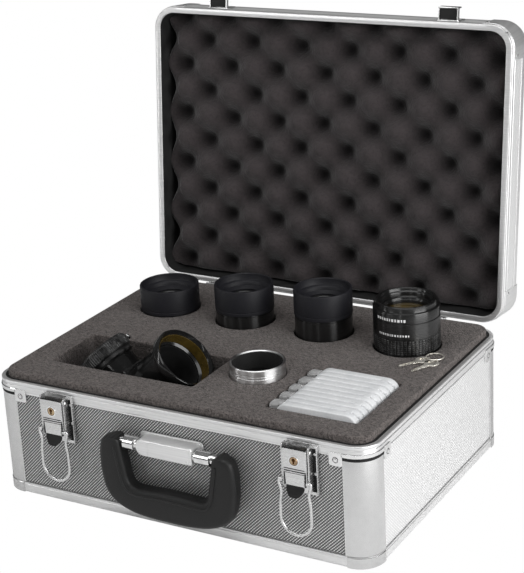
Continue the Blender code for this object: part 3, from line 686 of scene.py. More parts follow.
for name, flat, sign in (("front", 1, -1), ("back", 1, 1), ("left", 0, -1), ("right", 0, 1)):
    low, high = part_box(f"base_{name}_panel")
    face = high[flat] if sign > 0 else low[flat]
    low[flat], high[flat] = sorted((face + sign * 0.12 * MM, face - sign * 0.5 * MM))
    for level, z in (("low", post_low + 0.1 * MM), ("high", post_high - 0.7 * MM)):
        low.z, high.z = z, z + 0.6 * MM
        trim_piece(f"seam_{name}_{level}", block(low, high), seam_dark)
print("panels dressed and seams laid")

# %% [markdown]
# Guards wrap the four top corners. Each is a narrow band over the bend with a black band under it, painted
# shadow for the gap under the guard, and a square ear with a rivet on both faces. The bottom corners have
# plain satin shoes.


# %% Corner guards and rivets
def rivet(centre, axis, radius=1.9, rise=0.7):
    """A domed rivet head, in millimetres; its flat back sits in the plate."""
    profile = [(radius, -0.3), (radius, 0), (radius * 0.92, rise * 0.45), (radius * 0.6, rise * 0.85),
               (radius * 0.2, rise)]
    return turned(mm(profile), centre, 20, False, axis)


def band(corner, low, high, leg, thick):
    """A bent strip round a corner of the case, in millimetres but for its two heights, proud by thick."""
    section = mm([(0, 0.4), (0.4, 0), (thick + 0.1, 0)], (0, low))
    section += mm([(thick + 0.1, 0), (0.4, 0), (0, -0.4)], (0, high))
    return extrusion(section, bend(corner, leg=leg * MM, grow=thick * MM), False)


EAR, PROUD = 12.5 * MM, 0.9 * MM
near = CORNER_R + 3.2 * MM
far = near + EAR
ear_low, ear_high = RAIL_LOW - 8.2 * MM, RAIL_LOW + 4.2 * MM
cup = mm([(1.9, -0.2), (3.0, -0.2), (2.7, 0.12), (2.1, 0.12)])
for name, corner in CORNERS.items():
    parts = [band(corner, RAIL_LOW + 0.4 * MM, ear_high, 4, 0.9)]
    # A black band under the guard: painted shadow.
    trim_piece("guard_shadow_" + name, band(corner, RAIL_LOW - 2.6 * MM, RAIL_LOW + 0.3 * MM, 3.6, 0.35),
               matte_black)
    for flat, wall, other in ((0, HALF_D, HALF_W), (1, HALF_W, HALF_D)):
        sign, facing = corner[flat], corner[1 - flat]
        low, high, spot, axis = [0, 0, ear_low], [0, 0, ear_high], [0, 0, ear_low + 5.6 * MM], [0, 0, 0]
        low[flat], high[flat] = sorted((sign * (other - near), sign * (other - far)))
        low[1 - flat], high[1 - flat] = sorted((facing * (wall - PROUD), facing * (wall + PROUD)))
        parts.append(block(low, high, 0.3 * MM, 2.2 * MM, "XY"[1 - flat]))
        spot[flat], spot[1 - flat] = (low[flat] + high[flat]) / 2, facing * (wall + PROUD)
        axis[1 - flat] = facing
        trim_piece(f"ear_shade_{name}_{flat}", turned(cup, spot, 24, True, axis), seam_dark)
        parts.append(rivet(spot, axis, 1.8))
    trim_piece("guard_" + name, merge(*parts), chrome)
    trim_piece("foot_shoe_" + name, band(corner, 0.4 * MM, FOOT_TOP - 0.4 * MM, 2, 0.5), smooth_satin)
print("guards on", len(CORNERS), "corners")

# %% [markdown]
# ## Foam
# The block is cut to shape, so every pocket has a straight wall and a slightly dragged lip. The cutters flare
# at the surface to leave that soft lip. Below the top layer the block is hollow, for the tall items.

# %% Cutters and the cut block
foam_low, foam_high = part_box("base_foam")
bed_low, bed_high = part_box("foam_bed")
ring_low, ring_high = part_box("adapter_ring")
case_boxes = [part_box(f"filter_case_{i}") for i in range(1, 6)]
FOAM_TOP = foam_high.z
LIP = 1.4 * MM
DEEP, LAYER_BOTTOM = 55 * MM, 62 * MM


def pocket(outline, floor):
    """A cutter for a pocket: straight walls from the floor, flared at the foam's surface."""
    levels = [(floor, 0.0), (FOAM_TOP - LIP, 0.0)]
    for k in range(1, 5):
        a = math.pi / 2 * k / 4
        levels.append((FOAM_TOP - LIP + LIP * math.sin(a), LIP * (1 - math.cos(a))))
    levels.append((FOAM_TOP + 6 * MM, LIP * 1.6))
    outs = outward(outline)
    return skin([[(*(Vector(p) + out * grow), z) for p, out in zip(outline, outs)] for z, grow in levels])


def round_pocket(node, floor):
    """A pocket round a turned item, a little wider than it."""
    low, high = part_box(node)
    return pocket(circle(middle(node), (high.x - low.x) / 2 + 0.6 * MM), floor)


outline = rounded_box(foam_low.x, foam_high.x, foam_low.y, foam_high.y, CORNER_R - (foam_low.x + HALF_W), 12)
mesh = slab(outline, foam_low.z, FOAM_TOP, 2.0 * MM, steps=4, lower=1 * MM)
first_low, first_high = case_boxes[0]
filters = (first_low.x - 0.8 * MM, first_high.x + 1.5 * MM, -109 * MM, -21 * MM)
tools = [block((bed_low.x - 1 * MM, bed_low.y - 1 * MM, 0),
               (bed_high.x + 1 * MM, bed_high.y + 1 * MM, LAYER_BOTTOM)),
         pocket(rounded_box(-156 * MM, -2 * MM, -98 * MM, -29 * MM, 2.5 * MM, 6), DEEP),
         pocket(rounded_box(*filters, 2.5 * MM, 6), first_low.z - FIT)]
tools += [round_pocket(f"eyepiece_{i}_eyecup", DEEP) for i in (1, 2, 3)]
tools += [round_pocket("barlow_body", DEEP), round_pocket("adapter_ring", ring_low.z - FIT)]
foam_block = piece("foam_block", carve(mesh, *tools), "base", "foam", foam, stands_for="base_foam",
                   sharp=50, fill=1.0)
# A black band over the rim's inner edge: painted shade where the foam meets the rim.
strip = mm([(3.7, 0.1), (6.3, 0.1), (6.3, -1.2), (5.9, -1.2), (5.9, -0.5), (3.7, -0.3)], (0, RIM_TOP))
piece("rim_shade_band", extrusion(strip, ring_plan), "base", "foam", matte_black)
print("foam block vertices:", len(foam_block.data.vertices))

# %% Bed under the tall items
board = block(bed_low, (bed_high.x, bed_high.y, 44 * MM), 2 * MM, 3 * MM)
pad = block((-117 * MM, -91.5 * MM, 42 * MM), (-45 * MM, -35.5 * MM, bed_high.z), 2 * MM, 3 * MM)
piece("foam_bed_soft", merge(board, pad), "bed", "foam", foam, stands_for="foam_bed", sharp=50, fill=1.0)
print("bed from", round(bed_low.z, 4), "to", round(bed_high.z, 4))

# %% [markdown]
# ## The lid
# It is drawn closed and swung open in one step, so that its rim matches the case's. Four extrusions go round
# the edge, mitred at the corners, and satin caps cover the mitres.

# %% Lid rails
low, high = LID_LOW, LID_HIGH
section = mm([(0.5, 0), (0, 0.6), (0, 3.0), (0.7, 3.4), (0.7, 4.2), (0, 4.6), (0, 8.6), (0.5, 8.9),
              (0.5, 9.6), (0, 9.9)], (0, low))
section += mm([(0, -10.2), (0.5, -9.9), (0.5, -9.2), (0, -8.9), (0, -2), (0.6, -0.6), (2, 0), (12, 0),
               (12, -1.2), (6, -1.2)], (0, high))
section = soften(section + mm([(6, 0.5), (5.5, 0)], (0, low)), 0.3 * MM, 1)
turns = list(CORNERS.values())
for i, name in enumerate(("right", "back", "left", "front")):
    stations = bend(turns[i], 46, 90, steps=8) + bend(turns[(i + 1) % 4], 0, 44, steps=8)
    lid_piece("lid_extrusion_" + name, extrusion(section, stations, False), "aluminium_trim", satin,
              stands_for="lid_rail_" + name)
print("lid rails from", round(low, 4), "to", round(high, 4))

# %% [markdown]
# The lid's sheet shows between the two edges of each rail, as a pressed strip with a stitched seam. The caps
# are thin shells with a chrome rivet on each leg.

# %% Lid sheet strips, seams and caps
strip_low, strip_high = low + 10.6 * MM, high - 10.8 * MM
for name, flat, sign in (("front", 1, -1), ("back", 1, 1), ("left", 0, -1), ("right", 0, 1)):
    wall, other = (HALF_D, HALF_W) if flat else (HALF_W, HALF_D)
    reach = other - CORNER_R - 5 * MM
    near, far = [0, 0, strip_low], [0, 0, strip_high]
    near[flat], far[flat] = sorted((sign * (wall + 0.05 * MM), sign * (wall - 0.6 * MM)))
    near[1 - flat], far[1 - flat] = -reach, reach
    lid_piece("lid_strip_" + name, block(near, far), "embossed_panel", side_sheet_painted_light)
    near[2], far[2] = strip_high, strip_high + 0.7 * MM
    lid_piece("lid_seam_" + name, block(near, far), "aluminium_trim", seam_dark)

shell = mm([(0.9, 5.2), (0.3, 5.2), (0, 5.6)], (0, low))
shell += mm([(0, -1.2), (1.2, 0.7), (9, 0.7), (9, -0.2), (0.9, -0.2)], (0, high))
bead = mm([(0, 0.1), (0, -0.15), (3.4, -0.15), (3.4, 0.1)], (0, low))
along = CORNER_R + 6.5 * MM
for name, corner in CORNERS.items():
    x, y = corner[:2]
    rivets = [rivet((x * (HALF_W - along), y * (HALF_D + 0.8 * MM), low + 12 * MM), (0, y, 0)),
              rivet((x * (HALF_W + 0.8 * MM), y * (HALF_D - along), low + 12 * MM), (x, 0, 0))]
    cap = extrusion(soften(shell, 0.4 * MM), bend(corner, leg=10 * MM, grow=0.8 * MM), False)
    lid_piece("lid_cap_" + name, cap, "aluminium_trim", satin)
    lid_piece("lid_cap_rivets_" + name, merge(*rivets), "aluminium_trim", chrome)
    lid_piece("lid_bead_" + name, extrusion(bead, bend(corner, leg=4 * MM, grow=-1.2 * MM), False),
              "aluminium_trim", satin)
felt_high = high - 4.9 * MM
felt = mm([(6.05, 0.8)], (0, low)) + mm([(6.05, 0), (6.45, 0)], (0, felt_high)) + mm([(6.4, 0.8)], (0, low))
lid_piece("lid_lining", extrusion(felt, ring_plan), "foam", matte_black)
nub = turned(mm([(2.6, 0), (2.6, 9), (2.3, 10.6), (1.4, 11.6), (0.3, 12)]),
             (134 * MM, HALF_D - 3.2 * MM, low + 12.5 * MM), 24, False, (0, 0, -1))
lid_piece("lid_buffer", nub, "clear_plastic", frosted)
print("strips between", round(strip_low, 4), "and", round(strip_high, 4))

# %% [markdown]
# Egg-crate foam is cut with a wavy blade: peaks and dimples alternate like a chessboard. The surface below
# is that wave on a fine grid. The dimples are narrower than the peaks, and the cut wanders a little, as
# foam does.

# %% Egg-crate foam
WAVE_X, WAVE_Y = 53 * MM, 51 * MM
START_X, START_Y = 140 * MM, 201 * MM
FOAM_BACK = LID_HIGH - 4.8 * MM
edge_in = WALL + 2.6 * MM
x_half, y_half, inner_r = HALF_W - edge_in, HALF_D - edge_in, CORNER_R - edge_in
columns, rows = 150, 112
gx, gy = np.meshgrid(np.linspace(-x_half, x_half, columns), np.linspace(-y_half, y_half, rows), indexing="ij")
along_lid = HINGE.y - gy
wander = 2.2 * MM * np.sin(gx * 31.0 + 1.3) * np.cos(gy * 27.0 + 0.4)
wave = np.cos(2 * math.pi * (gx + START_X + wander) / WAVE_X)
wave = wave * np.cos(2 * math.pi * (along_lid - START_Y - 0.6 * wander) / WAVE_Y)
dimple = np.clip(wave, 0, 1) ** 1.15
peak = np.clip(-wave, 0, 1) ** 1.05
rough = np.random.default_rng(7).normal(0.0, 0.12 * MM, gx.shape)
thick = (15.5 * MM - 11.0 * MM * dimple + 7.5 * MM * peak) + rough

# The grid's corners are pulled in to the round of the lid, and its left edge follows the wave.
deep_x = np.clip(np.abs(gx) - (x_half - inner_r), 0, None)
deep_y = np.clip(np.abs(gy) - (y_half - inner_r), 0, None)
reach = np.hypot(deep_x, deep_y)
shrink = np.where(reach > inner_r, inner_r / np.maximum(reach, 1e-9), 1.0)
px = np.sign(gx) * (np.minimum(np.abs(gx), x_half - inner_r) + deep_x * shrink)
py = np.sign(gy) * (np.minimum(np.abs(gy), y_half - inner_r) + deep_y * shrink)
px = px + np.where(gx < -x_half + 12 * MM, 2.4 * MM * np.cos(2 * math.pi * (along_lid - START_Y) / WAVE_Y),
                   0.0)
rim_fall = np.minimum(np.minimum(x_half - np.abs(gx), y_half - np.abs(gy)) / (3.0 * MM), 1.0)
thick = thick * (0.86 + 0.14 * np.sqrt(np.clip(rim_fall, 0, 1)))

mesh = bmesh.new()
faces = [[mesh.verts.new((px[i, j], py[i, j], FOAM_BACK - thick[i, j])) for j in range(rows)]
         for i in range(columns)]
backs = [[mesh.verts.new((px[i, j], py[i, j], FOAM_BACK)) for j in range(rows)] for i in range(columns)]
for i in range(columns - 1):
    for j in range(rows - 1):
        mesh.faces.new((faces[i][j], faces[i][j + 1], faces[i + 1][j + 1], faces[i + 1][j]))
        mesh.faces.new((backs[i][j], backs[i + 1][j], backs[i + 1][j + 1], backs[i][j + 1]))
border = [(i, 0) for i in range(columns)] + [(columns - 1, j) for j in range(1, rows)]
border += [(i, rows - 1) for i in range(columns - 2, -1, -1)] + [(0, j) for j in range(rows - 2, 0, -1)]
for (i, j), (a, b) in zip(border, border[1:] + border[:1]):
    mesh.faces.new((faces[i][j], faces[a][b], backs[a][b], backs[i][j]))
bmesh.ops.recalc_face_normals(mesh, faces=mesh.faces)
egg_crate = lid_piece("egg_crate", mesh, "foam", egg_foam, stands_for="lid_foam", sharp=60, fill=1.0)
# The foam's thickness as a share from 0 to 1, stored for the painted shade in the dimples.
shares = np.zeros(len(egg_crate.data.vertices), np.float32)
shares[:thick.size] = ((thick - thick.min()) / (thick.max() - thick.min())).ravel()
egg_crate.data.attributes.new("height", "FLOAT", "POINT").data.foreach_set("value", shares)
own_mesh(egg_crate)
print("egg crate", round(float(thick.min()), 4), "to", round(float(thick.max()), 4), "m thick")

# %% [markdown]
# ## Hardware
# The strikes on the lid are folded plates: a tray, which the raised wire drops over, with a black sheet
# inside as painted shade. The hinges behind are plain leaves with knuckles, fixed with rivets.


# %% Strikes and hinges
def cheeks(outline, x, apart, edge=0.0):
    """Two upright plates 1.2 mm thick, on both sides of x."""
    return [slab(outline, x + side - 0.6 * MM, x + side + 0.6 * MM, edge, "X")
            for side in (-apart * MM, apart * MM)]


CATCH = 120.3 * MM
for side in ("left", "right"):
    x = middle(f"lid_strike_{side}").x
    lip = FACE - 11.8 * MM
    start = (x, lip, CATCH)
    tray = mm([(-10, -1.4), (10, -1.4), (10, 11.8), (-10, 11.8)], (x, lip))
    gusset = mm([(-1.2, -1.5), (11.8, -1.5), (11.8, -3.6), (-1.2, -3.0)], (lip, CATCH))
    parts = [block_at((x, FACE, LID_LOW), (-11, -1.4, 2), (11, 0, 20), 0.5, 1.5, "Y"),
             slab(soften(tray, 1.6 * MM, 4, keep=(2, 3)), CATCH - 1.8 * MM, CATCH, 0.3 * MM),
             block_at(start, (-10, -1.4, -1.5), (10, 0, 5), 0.5),
             block_at(start, (-10, -1.4, -3.1), (10, -0.2, -1), 0.3), *cheeks(gusset, x, 9.4)]
    parts += [rivet(spot, OUT_FRONT, 1.5, 0.6)
              for spot in mm([(-7, -1.4, 14.5), (7, -1.4, 14.5)], (x, FACE, LID_LOW))]
    lid_piece(f"strike_{side}", merge(*parts), "chrome_hardware", chrome, stands_for=f"lid_strike_{side}")
    # A black sheet inside the tray: painted shade.
    dark = block_at(start, (-8.7, 0, -2.05), (8.7, 10.3, -1.7))
    lid_piece(f"strike_inside_{side}", dark, "chrome_hardware", matte_black)

    leaf_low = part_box(f"hinge_base_leaf_{side}")[0]
    pin = (middle(f"hinge_base_leaf_{side}").x, HINGE.y, HINGE.z)
    (x0, near, _), (x1, far, top) = mm([(-20, -2.7, 0), (20, -1.3, -3.4)], pin)
    base = [block((x0, near, leaf_low.z), (x1, far, top), 0.3 * MM, 2 * MM, "Y")]
    for a, b in ((-20, -6.5), (6.5, 20)):
        knuckle = mm([(1.3, a), (2.2, a), (2.5, a + 0.3), (2.5, b - 0.3), (2.2, b), (1.3, b)])
        base += [turned(knuckle, pin, 24, True, X_AXIS), block_at(pin, (a, -2.7, -5), (b, -1.3, 0), 0.2)]
    base += [rivet(spot, Y_AXIS) for spot in mm([(-13, -1.3, -17), (0, -1.3, -17), (13, -1.3, -17)], pin)]
    piece(f"hinge_{side}_base", merge(*base), "base", "chrome_hardware", dull_chrome,
          stands_for=f"hinge_base_leaf_{side}")
    leaf = [block_at(pin, (-20, -2.7, 3.4), (20, -1.3, 20), 0.3, 2, "Y"),
            block_at(pin, (-6.1, -2.7, 0), (6.1, -1.3, 5), 0.2),
            turned(mm([(0.9, -6.1), (2.5, -6.1), (2.5, 6.1), (0.9, 6.1)]), pin, 24, True, X_AXIS),
            rod(0.95, 21, pin, X_AXIS, 16)]
    leaf += [rivet(spot, Y_AXIS) for spot in mm([(-13, -1.3, 14), (0, -1.3, 14), (13, -1.3, 14)], pin)]
    lid_piece(f"hinge_{side}_lid", merge(*leaf), "chrome_hardware", dull_chrome,
              stands_for=f"hinge_lid_leaf_{side}")
print("strikes and hinges made")

# %% [markdown]
# A draw latch has four parts. The channel plate is riveted to the case, the lever turns at the plate's top,
# the lock sits in the lever, and the wire hangs from the lever's sides.

# %% Latches
LEVER_Y, LEVER_Z = FRONT - 6.2 * MM, 104 * MM
LOCK_Z, SHOULDER, FOOT = 96 * MM, 87.2 * MM, 72 * MM
LEVER_FACE = FACE - 10 * MM
_, BAIL_Y, BAIL_Z = joint("bail_left_hinge")["pos_m"]
swing = [(12.0, 0), (14.6, 0.4), (14.9, -3.0), (13.4, -8.5), (13.2, -13), (14.3, -20), (14.5, -28)]
swing += arc((0, -35), 14.5, 0, -90, 6)
for side in ("left", "right"):
    x = middle(f"latch_lever_{side}").x
    plate_low, plate_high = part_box(f"latch_plate_{side}")
    start, tall = (x, FACE, plate_low.z), (plate_high.z - plate_low.z) / MM
    wall = mm([(-0.4, 4), (-5, 4), (-8.5, 9), (-8.5, tall - 1), (-0.4, tall - 1)], start[1:])
    plate = [block_at(start, (-13, -1, 0), (18, 0, tall), 0.3, 1.5, "Y"),
             *cheeks(soften(wall, 2 * MM, 4, keep=(0, 4)), x, 12.5, 0.2 * MM),
             block_at(start, (17, -3.2, 1), (18, -0.4, tall - 1), 0.3)]
    plate += [rivet(spot, OUT_FRONT, 1.4, 0.8) for spot in mm([(15.2, -1, tall - 9), (15.2, -1, 20)], start)]
    piece(f"latch_{side}_plate", merge(*plate), "base", "chrome_hardware", dull_chrome,
          stands_for=f"latch_plate_{side}")
    shade = block_at(start, (11.9, -1.15, 3), (16.9, -0.9, tall - 4))

    start, lock = (x, LEVER_FACE, SHOULDER), (x, LEVER_FACE, LOCK_Z)
    upper = rounded_box(x - 11.5 * MM, x + 11.5 * MM, SHOULDER, LEVER_Z + 2.5 * MM, 1.5 * MM, 4)
    tab = mm([(-9.2, -2.4), (-8.6, -14.6), (8.6, -14.6), (9.2, -2.4)], (x, SHOULDER))
    wall = mm([(0.8, 4), (2.4, 4), (5.9, 28), (5.9, 33.8), (0.8, 33.8)], (LEVER_FACE, FOOT))
    lever = [carve(slab(upper, LEVER_FACE, LEVER_FACE + 1.5 * MM, 0.35 * MM, "Y"),
                   rod(4.15, 4, lock, Y_AXIS)),
             block_at(start, (-9.6, -0.35, -0.15), (9.6, 0.6, 0.95), 0.3),
             block_at(start, (-9.6, -0.35, -2.25), (9.6, 0.6, -1.15), 0.3),
             block_at(start, (-9.6, 0.35, -4), (9.6, 1.5, 1)),
             slab(soften(tab, 1 * MM), LEVER_FACE, LEVER_FACE + 1.5 * MM, 0.35 * MM, "Y"),
             *cheeks(soften(wall, 1.2 * MM, 3, keep=(0, 4)), x, 10.6, 0.15 * MM),
             rod(1, 13.5, (x, LEVER_Y, LEVER_Z), X_AXIS, 16)]
    for sign in (-1, 1):
        lever.append(turned(mm([(1.9, 0), (1.9, 0.5), (1.2, 1), (0.3, 1.1)]),
                            (x + sign * 13.1 * MM, LEVER_Y, LEVER_Z), 16, False, (sign, 0, 0)))
        lever.append(turned(mm([(1.6, 0), (1.6, 2.6), (1.0, 3.1), (0.2, 3.2)]),
                            (x + sign * 11.2 * MM, BAIL_Y, BAIL_Z), 16, False, (sign, 0, 0)))
    piece(f"latch_{side}_lever", merge(*lever), f"latch_{side}", "chrome_hardware", dull_chrome,
          stands_for=f"latch_lever_{side}")

    # The curled end of the finger tab is black: painted shade for the dark underside of the curl.
    curl = mm([(0, 2), (1.5, 2), (1.5, -2), (-0.5, -7.5), (-3, -9), (-3.5, -7.8), (-1.5, -6), (0, -1)],
              (LEVER_FACE, FOOT))
    finger = slab(soften(curl, 0.6 * MM, 2), x - 8.4 * MM, x + 8.4 * MM, 0.4 * MM, "X")
    bottom = mm([(-12, -12), (12, -12), (12, 4), (8.45, 4)], (x, FOOT))
    bottom += arc((x, FOOT - 0.5 * MM), 8.45 * MM, 0, -180, 14) + mm([(-8.45, 4), (-12, 4)], (x, FOOT))
    finger = carve(finger, slab(bottom, LEVER_FACE - 8 * MM, LEVER_FACE + 6 * MM, axis="Y"))
    piece(f"latch_{side}_finger_tab_shade", finger, f"latch_{side}", "chrome_hardware", matte_black)
    # Black strips along the lever's folds and sides: painted shade in the creases and gaps.
    lines = [block_at(start, (-wide, -0.2, z - half), (wide, 1.0, z + half))
             for wide, z, half in ((11, 19.9, 0.5), (9.7, 1.35, 0.28), (9.7, -0.65, 0.28), (9.7, -2.5, 0.22))]
    lines += [block_at(start, (edge - 0.4, 0.2, -14.2), (edge + 0.4, 1.6, -2)) for edge in (-9.75, 9.75)]
    piece(f"latch_{side}_lever_shade_lines", merge(*lines), f"latch_{side}", "chrome_hardware", matte_black)
    piece(f"latch_{side}_channel_shade", shade, "base", "chrome_hardware", matte_black)

    path = mm([(a, 0, b) for a, b in swing] + [(-a, 0, b) for a, b in reversed(swing[:-1])],
              (x, BAIL_Y, BAIL_Z))
    piece(f"latch_{side}_bail", wire(curve_through(path), 1.4 * MM, 14), f"bail_{side}", "chrome_hardware",
          dull_chrome, stands_for=f"latch_bail_{side}")
    barrel = turned(mm([(0.2, 0.7), (3.4, 0.7), (3.8, 0.2), (3.8, -4.6)]), lock, 40, False, OUT_FRONT)
    keyhole = rod(1.6, 3, (x, LEVER_FACE, LOCK_Z + 1 * MM), Y_AXIS, 24)
    piece(f"lock_{side}", carve(barrel, keyhole, block_at(lock, (-0.75, -3, -2.6), (0.75, 2, 1))),
          f"lock_{side}", "brass_lock", brass, stands_for=f"lock_barrel_{side}")
    collar = turned(mm([(3.9, -0.6), (5.2, -0.6), (5.0, 0.35), (4.0, 0.5)]), lock, 40, True, OUT_FRONT)
    piece(f"lock_{side}_collar", collar, f"latch_{side}", "chrome_hardware", chrome)
print("latches made")

# %% [markdown]
# The grip is one moulding: a U with a deep rounded edge and a raised line that follows its inside. It
# swings on a chrome rod, and a silver cover holds the rod to the case.

# %% Handle
pivot = joint("handle_hinge")["pos_m"]
hx, hy, hz = pivot
grip_low, grip_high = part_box("handle_grip")
front, rear = grip_low.y, grip_high.y
outer_path = curve_through([(53.5, 87.6), (61, 86.8), (66.2, 83.2), (68.6, 75), (69.4, 64), (69, 52),
                            (65.4, 35), (56.5, 23.8), (40, 16.6), (20, 13.9), (0, 13.5)])
inner_path = curve_through([(50.5, 86.6), (47.2, 83.5), (46.0, 76), (44.8, 68), (42.8, 58), (41.2, 49),
                            (38.2, 43.4), (32, 41.4), (22, 41.6), (11, 42.2), (0, 42.4)])
half_u = list(zip(outer_path, inner_path))
loops = []
for sign, run in ((1, half_u), (-1, half_u[-2::-1])):
    for a, b in run:
        a, b = (Vector((hx + sign * p.x * MM, p.y * MM)) for p in (a, b))
        width, across = (a - b).length, (a - b).normalized()
        rounds = (4.5 * MM, 5.5 * MM, 5.5 * MM, 4.5 * MM) if width > 12 * MM else width * 0.3
        loops.append([(b.x + across.x * p, q, b.y + across.y * p)
                      for p, q in rounded_box(0, width, front, rear, rounds, 5)])
moulding = carve(skin(loops), rod(3.9, 52.5, pivot, X_AXIS))
inside = [(51.5, 79), (50.2, 70), (47.8, 56), (45.8, 46), (41.0, 38.2), (32, 35.8), (16, 36.2), (0, 36.6)]
inside += [(-a, b) for a, b in reversed(inside[:-1])]
ridge = wire(curve_through(mm([(a, 0.15, b) for a, b in inside], (hx, front, 0))), 1.2 * MM, 10)
piece("grip", merge(moulding, ridge), "handle", "handle_plastic", moulded, stands_for="handle_grip", sharp=50)

profile = [(3.2, -52)]
for low, high in ((-44.5, -33), (29, 44.5)):
    profile += [(4.4, low), (6.2, low + 0.3), (6.6, low + 0.8), (6.6, high - 0.8), (6.2, high - 0.3),
                (4.4, high)]
profile = mm(profile + [(3.2, 52)])
piece("grip_rod", turned(profile, pivot, 40, False, X_AXIS), "handle", "chrome_hardware", chrome,
      stands_for="handle_rod")

cover_y = hy - 5.8 * MM
cover = block((hx - 31 * MM, cover_y, hz - 8 * MM), (hx + 27 * MM, FACE - 0.9 * MM, hz + 8 * MM), 1.8 * MM,
              (7.5 * MM, 1.9 * MM, 1.9 * MM, 7.5 * MM), "Y")
plate = block_at((hx, FACE, hz), (-34, -2, -8.5), (30, 0, 8.5), 0.4, 4, "Y")
bracket = carve(merge(plate, cover), rod(4.6, 70, pivot, X_AXIS))
details = [rivet(spot, OUT_FRONT, 1.3, 0.4) for spot in mm([(-26, -5.7, -5.2), (22, -5.7, -5.2)], pivot)]
details += [block_at((hx, cover_y, hz), (low, -0.25, -6.6), (high, 0.5, 6.6), 0.1)
            for low, high in ((-18.6, -17.9), (24.2, 25.0))]
trim_piece("grip_bracket", merge(bracket, *details), satin, stands_for="handle_bracket")
print("grip stations:", len(loops))

# %% [markdown]
# ## What the case holds
# The eyepieces are turned: a rubber cup with a stepped inside, a gloss body, an eye lens and a plated barrel.
# Their heights and radii come from the working solids.

# %% Eyepieces
SEAT, NOSE_R = 17 * MM, 15.85 * MM
for i in (1, 2, 3):
    body_name = f"eyepiece_{i}"
    cup_low, cup_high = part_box(f"eyepiece_{i}_eyecup")
    at = (middle(f"eyepiece_{i}_eyecup").x, middle(f"eyepiece_{i}_eyecup").y, 0)
    radius, top, skirt = (cup_high.x - cup_low.x) / 2, cup_high.z, cup_low.z
    cup = mm([(-0.3, 0), (0, 0.4), (0, 3), (-0.35, 3.3), (-0.35, 3.9), (0, 4.2)], (radius, skirt))
    cup += mm([(0, -1), (-0.3, -0.3), (-0.9, 0), (-1.6, 0), (-2.2, -0.6), (-2.5, -5.5), (-3.1, -6.4),
               (-5.4, -7.0), (-6.2, -7.8), (-7.0, -10.5)], (radius, top))
    cup += mm([(1.4, -12.0), (0, -12.8)], (SEAT, top)) + [(SEAT, skirt)]
    piece(f"eyecup_{i}", turned(cup, at, 96), body_name, "rubber_eyecup", rubber,
          stands_for=f"eyepiece_{i}_eyecup")
    low, wall_top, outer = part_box(f"eyepiece_{i}_body")[0].z, skirt - FIT, radius - 0.6 * MM
    body = mm([(11, 0), (18.6, 0), (19, 0.5), (20.5, 6)], (0, low))
    body += mm([(-0.5, 11.6), (0, 12.4)], (outer, low))
    body += mm([(0, -1.4), (-0.6, -1.0), (-0.6, 0)], (outer, wall_top)) + [(16.7 * MM, wall_top)]
    body += mm([(16.7, -14), (13.9, -14), (13.4, -14.6), (13.4, -18.3), (11, -18.3)], (0, top))
    piece(f"eyepiece_{i}_barrel", turned(body, at, 96), body_name, "black_anodised", turned_black,
          stands_for=f"eyepiece_{i}_body")
    lens = mm([(13.1, -18.0), (13.1, -15.6)], (0, top)) + dome(13.1, 2.3, top - 15.6 * MM, 5)
    piece(f"eye_lens_{i}", turned(lens, at, 48, False), body_name, "coated_glass", pupil,
          stands_for=f"eyepiece_{i}_eye_lens")
    nose_low, nose_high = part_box(f"eyepiece_{i}_nosepiece")
    nose = mm([(-2, 0), (-0.5, 0), (0, 0.5)], (NOSE_R, nose_low.z))
    nose += mm([(0, -18), (-0.7, -17.2), (-0.7, -11), (0, -10.2), (0, 0), (-2, 0)], (NOSE_R, nose_high.z))
    for k in range(8):
        nose += mm([(-2, 6 - 0.7 * k), (-1.6, 5.65 - 0.7 * k)], (NOSE_R, nose_low.z))
    piece(f"nosepiece_{i}", turned(nose, at, 72), body_name, "barrel_plating", chrome,
          stands_for=f"eyepiece_{i}_nosepiece")
print("eyepieces made")

# %% [markdown]
# The Barlow lens has a stepped cell and a knurled band. The knurl is real: the band's radius follows a grid
# of small square pads. Where the maker would print words there are only plain bars.

# %% Barlow lens
low_z, top = (corner.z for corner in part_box("barlow_body"))
bx, by, _ = middle("barlow_body")
BARLOW_R = 31 * MM
cell = mm([(13.5, 0), (15.4, 0), (15.85, 0.5)], (0, low_z)) + mm([(15.85, 72), (25, 78)])
cell += mm([(-0.8, 81.6), (-0.8, 134.4), (0, 135.2)], (BARLOW_R, 0))
cell += mm([(0, -15.4), (-0.7, -15.0), (-0.7, -14.2), (0, -13.8), (0, -6.3), (-0.3, -5.5), (-1, -5.1)],
           (BARLOW_R, top))
cell += mm([(28.7, -4.9), (28.5, -4.5), (28.5, -0.8), (27.8, 0), (26.2, 0), (25.6, -0.6), (25.0, -2.6),
            (23.9, -3.4), (23.5, -4.2), (23.5, -7.2), (21.6, -8.2), (21.2, -9.6), (20.5, -10.5),
            (20.5, -17), (18, -17)], (0, top))
piece("barlow_cell", turned(cell + mm([(13.5, 78)]), (bx, by, 0), 112), "barlow", "black_anodised",
      turned_black, stands_for="barlow_body")

pads, rows, band_low, band_high = 56, 7, 119.5 * MM, 133.8 * MM
wave = [0.0, 0.9, 1.0, 1.0, 0.9, 0.0]
across = wave * pads
levels = [(band_low - 0.6 * MM, None)]
for k in range(rows):
    for t, up in zip((0.0, 0.2, 0.32, 0.68, 0.8, 1.0), wave):
        levels.append((band_low + (band_high - band_low) * (k + t) / rows, up))
levels.append((band_high + 0.4 * MM, None))
loops = []
for z, up in levels:
    loop = []
    for j, side in enumerate(across):
        a = 2 * math.pi * j / len(across)
        r = BARLOW_R - 1 * MM if up is None else BARLOW_R - 0.95 * MM + 0.95 * MM * side * up
        loop.append((bx + r * math.cos(a), by + r * math.sin(a), z))
    loops.append(loop)
piece("barlow_knurl", skin(loops), "barlow", "black_anodised", knurl_black, sharp=25)
glass = mm([(20.2, -16.7), (20.2, -13.4)], (0, top)) + dome(20.2, 3.0, top - 13.4 * MM, 6)
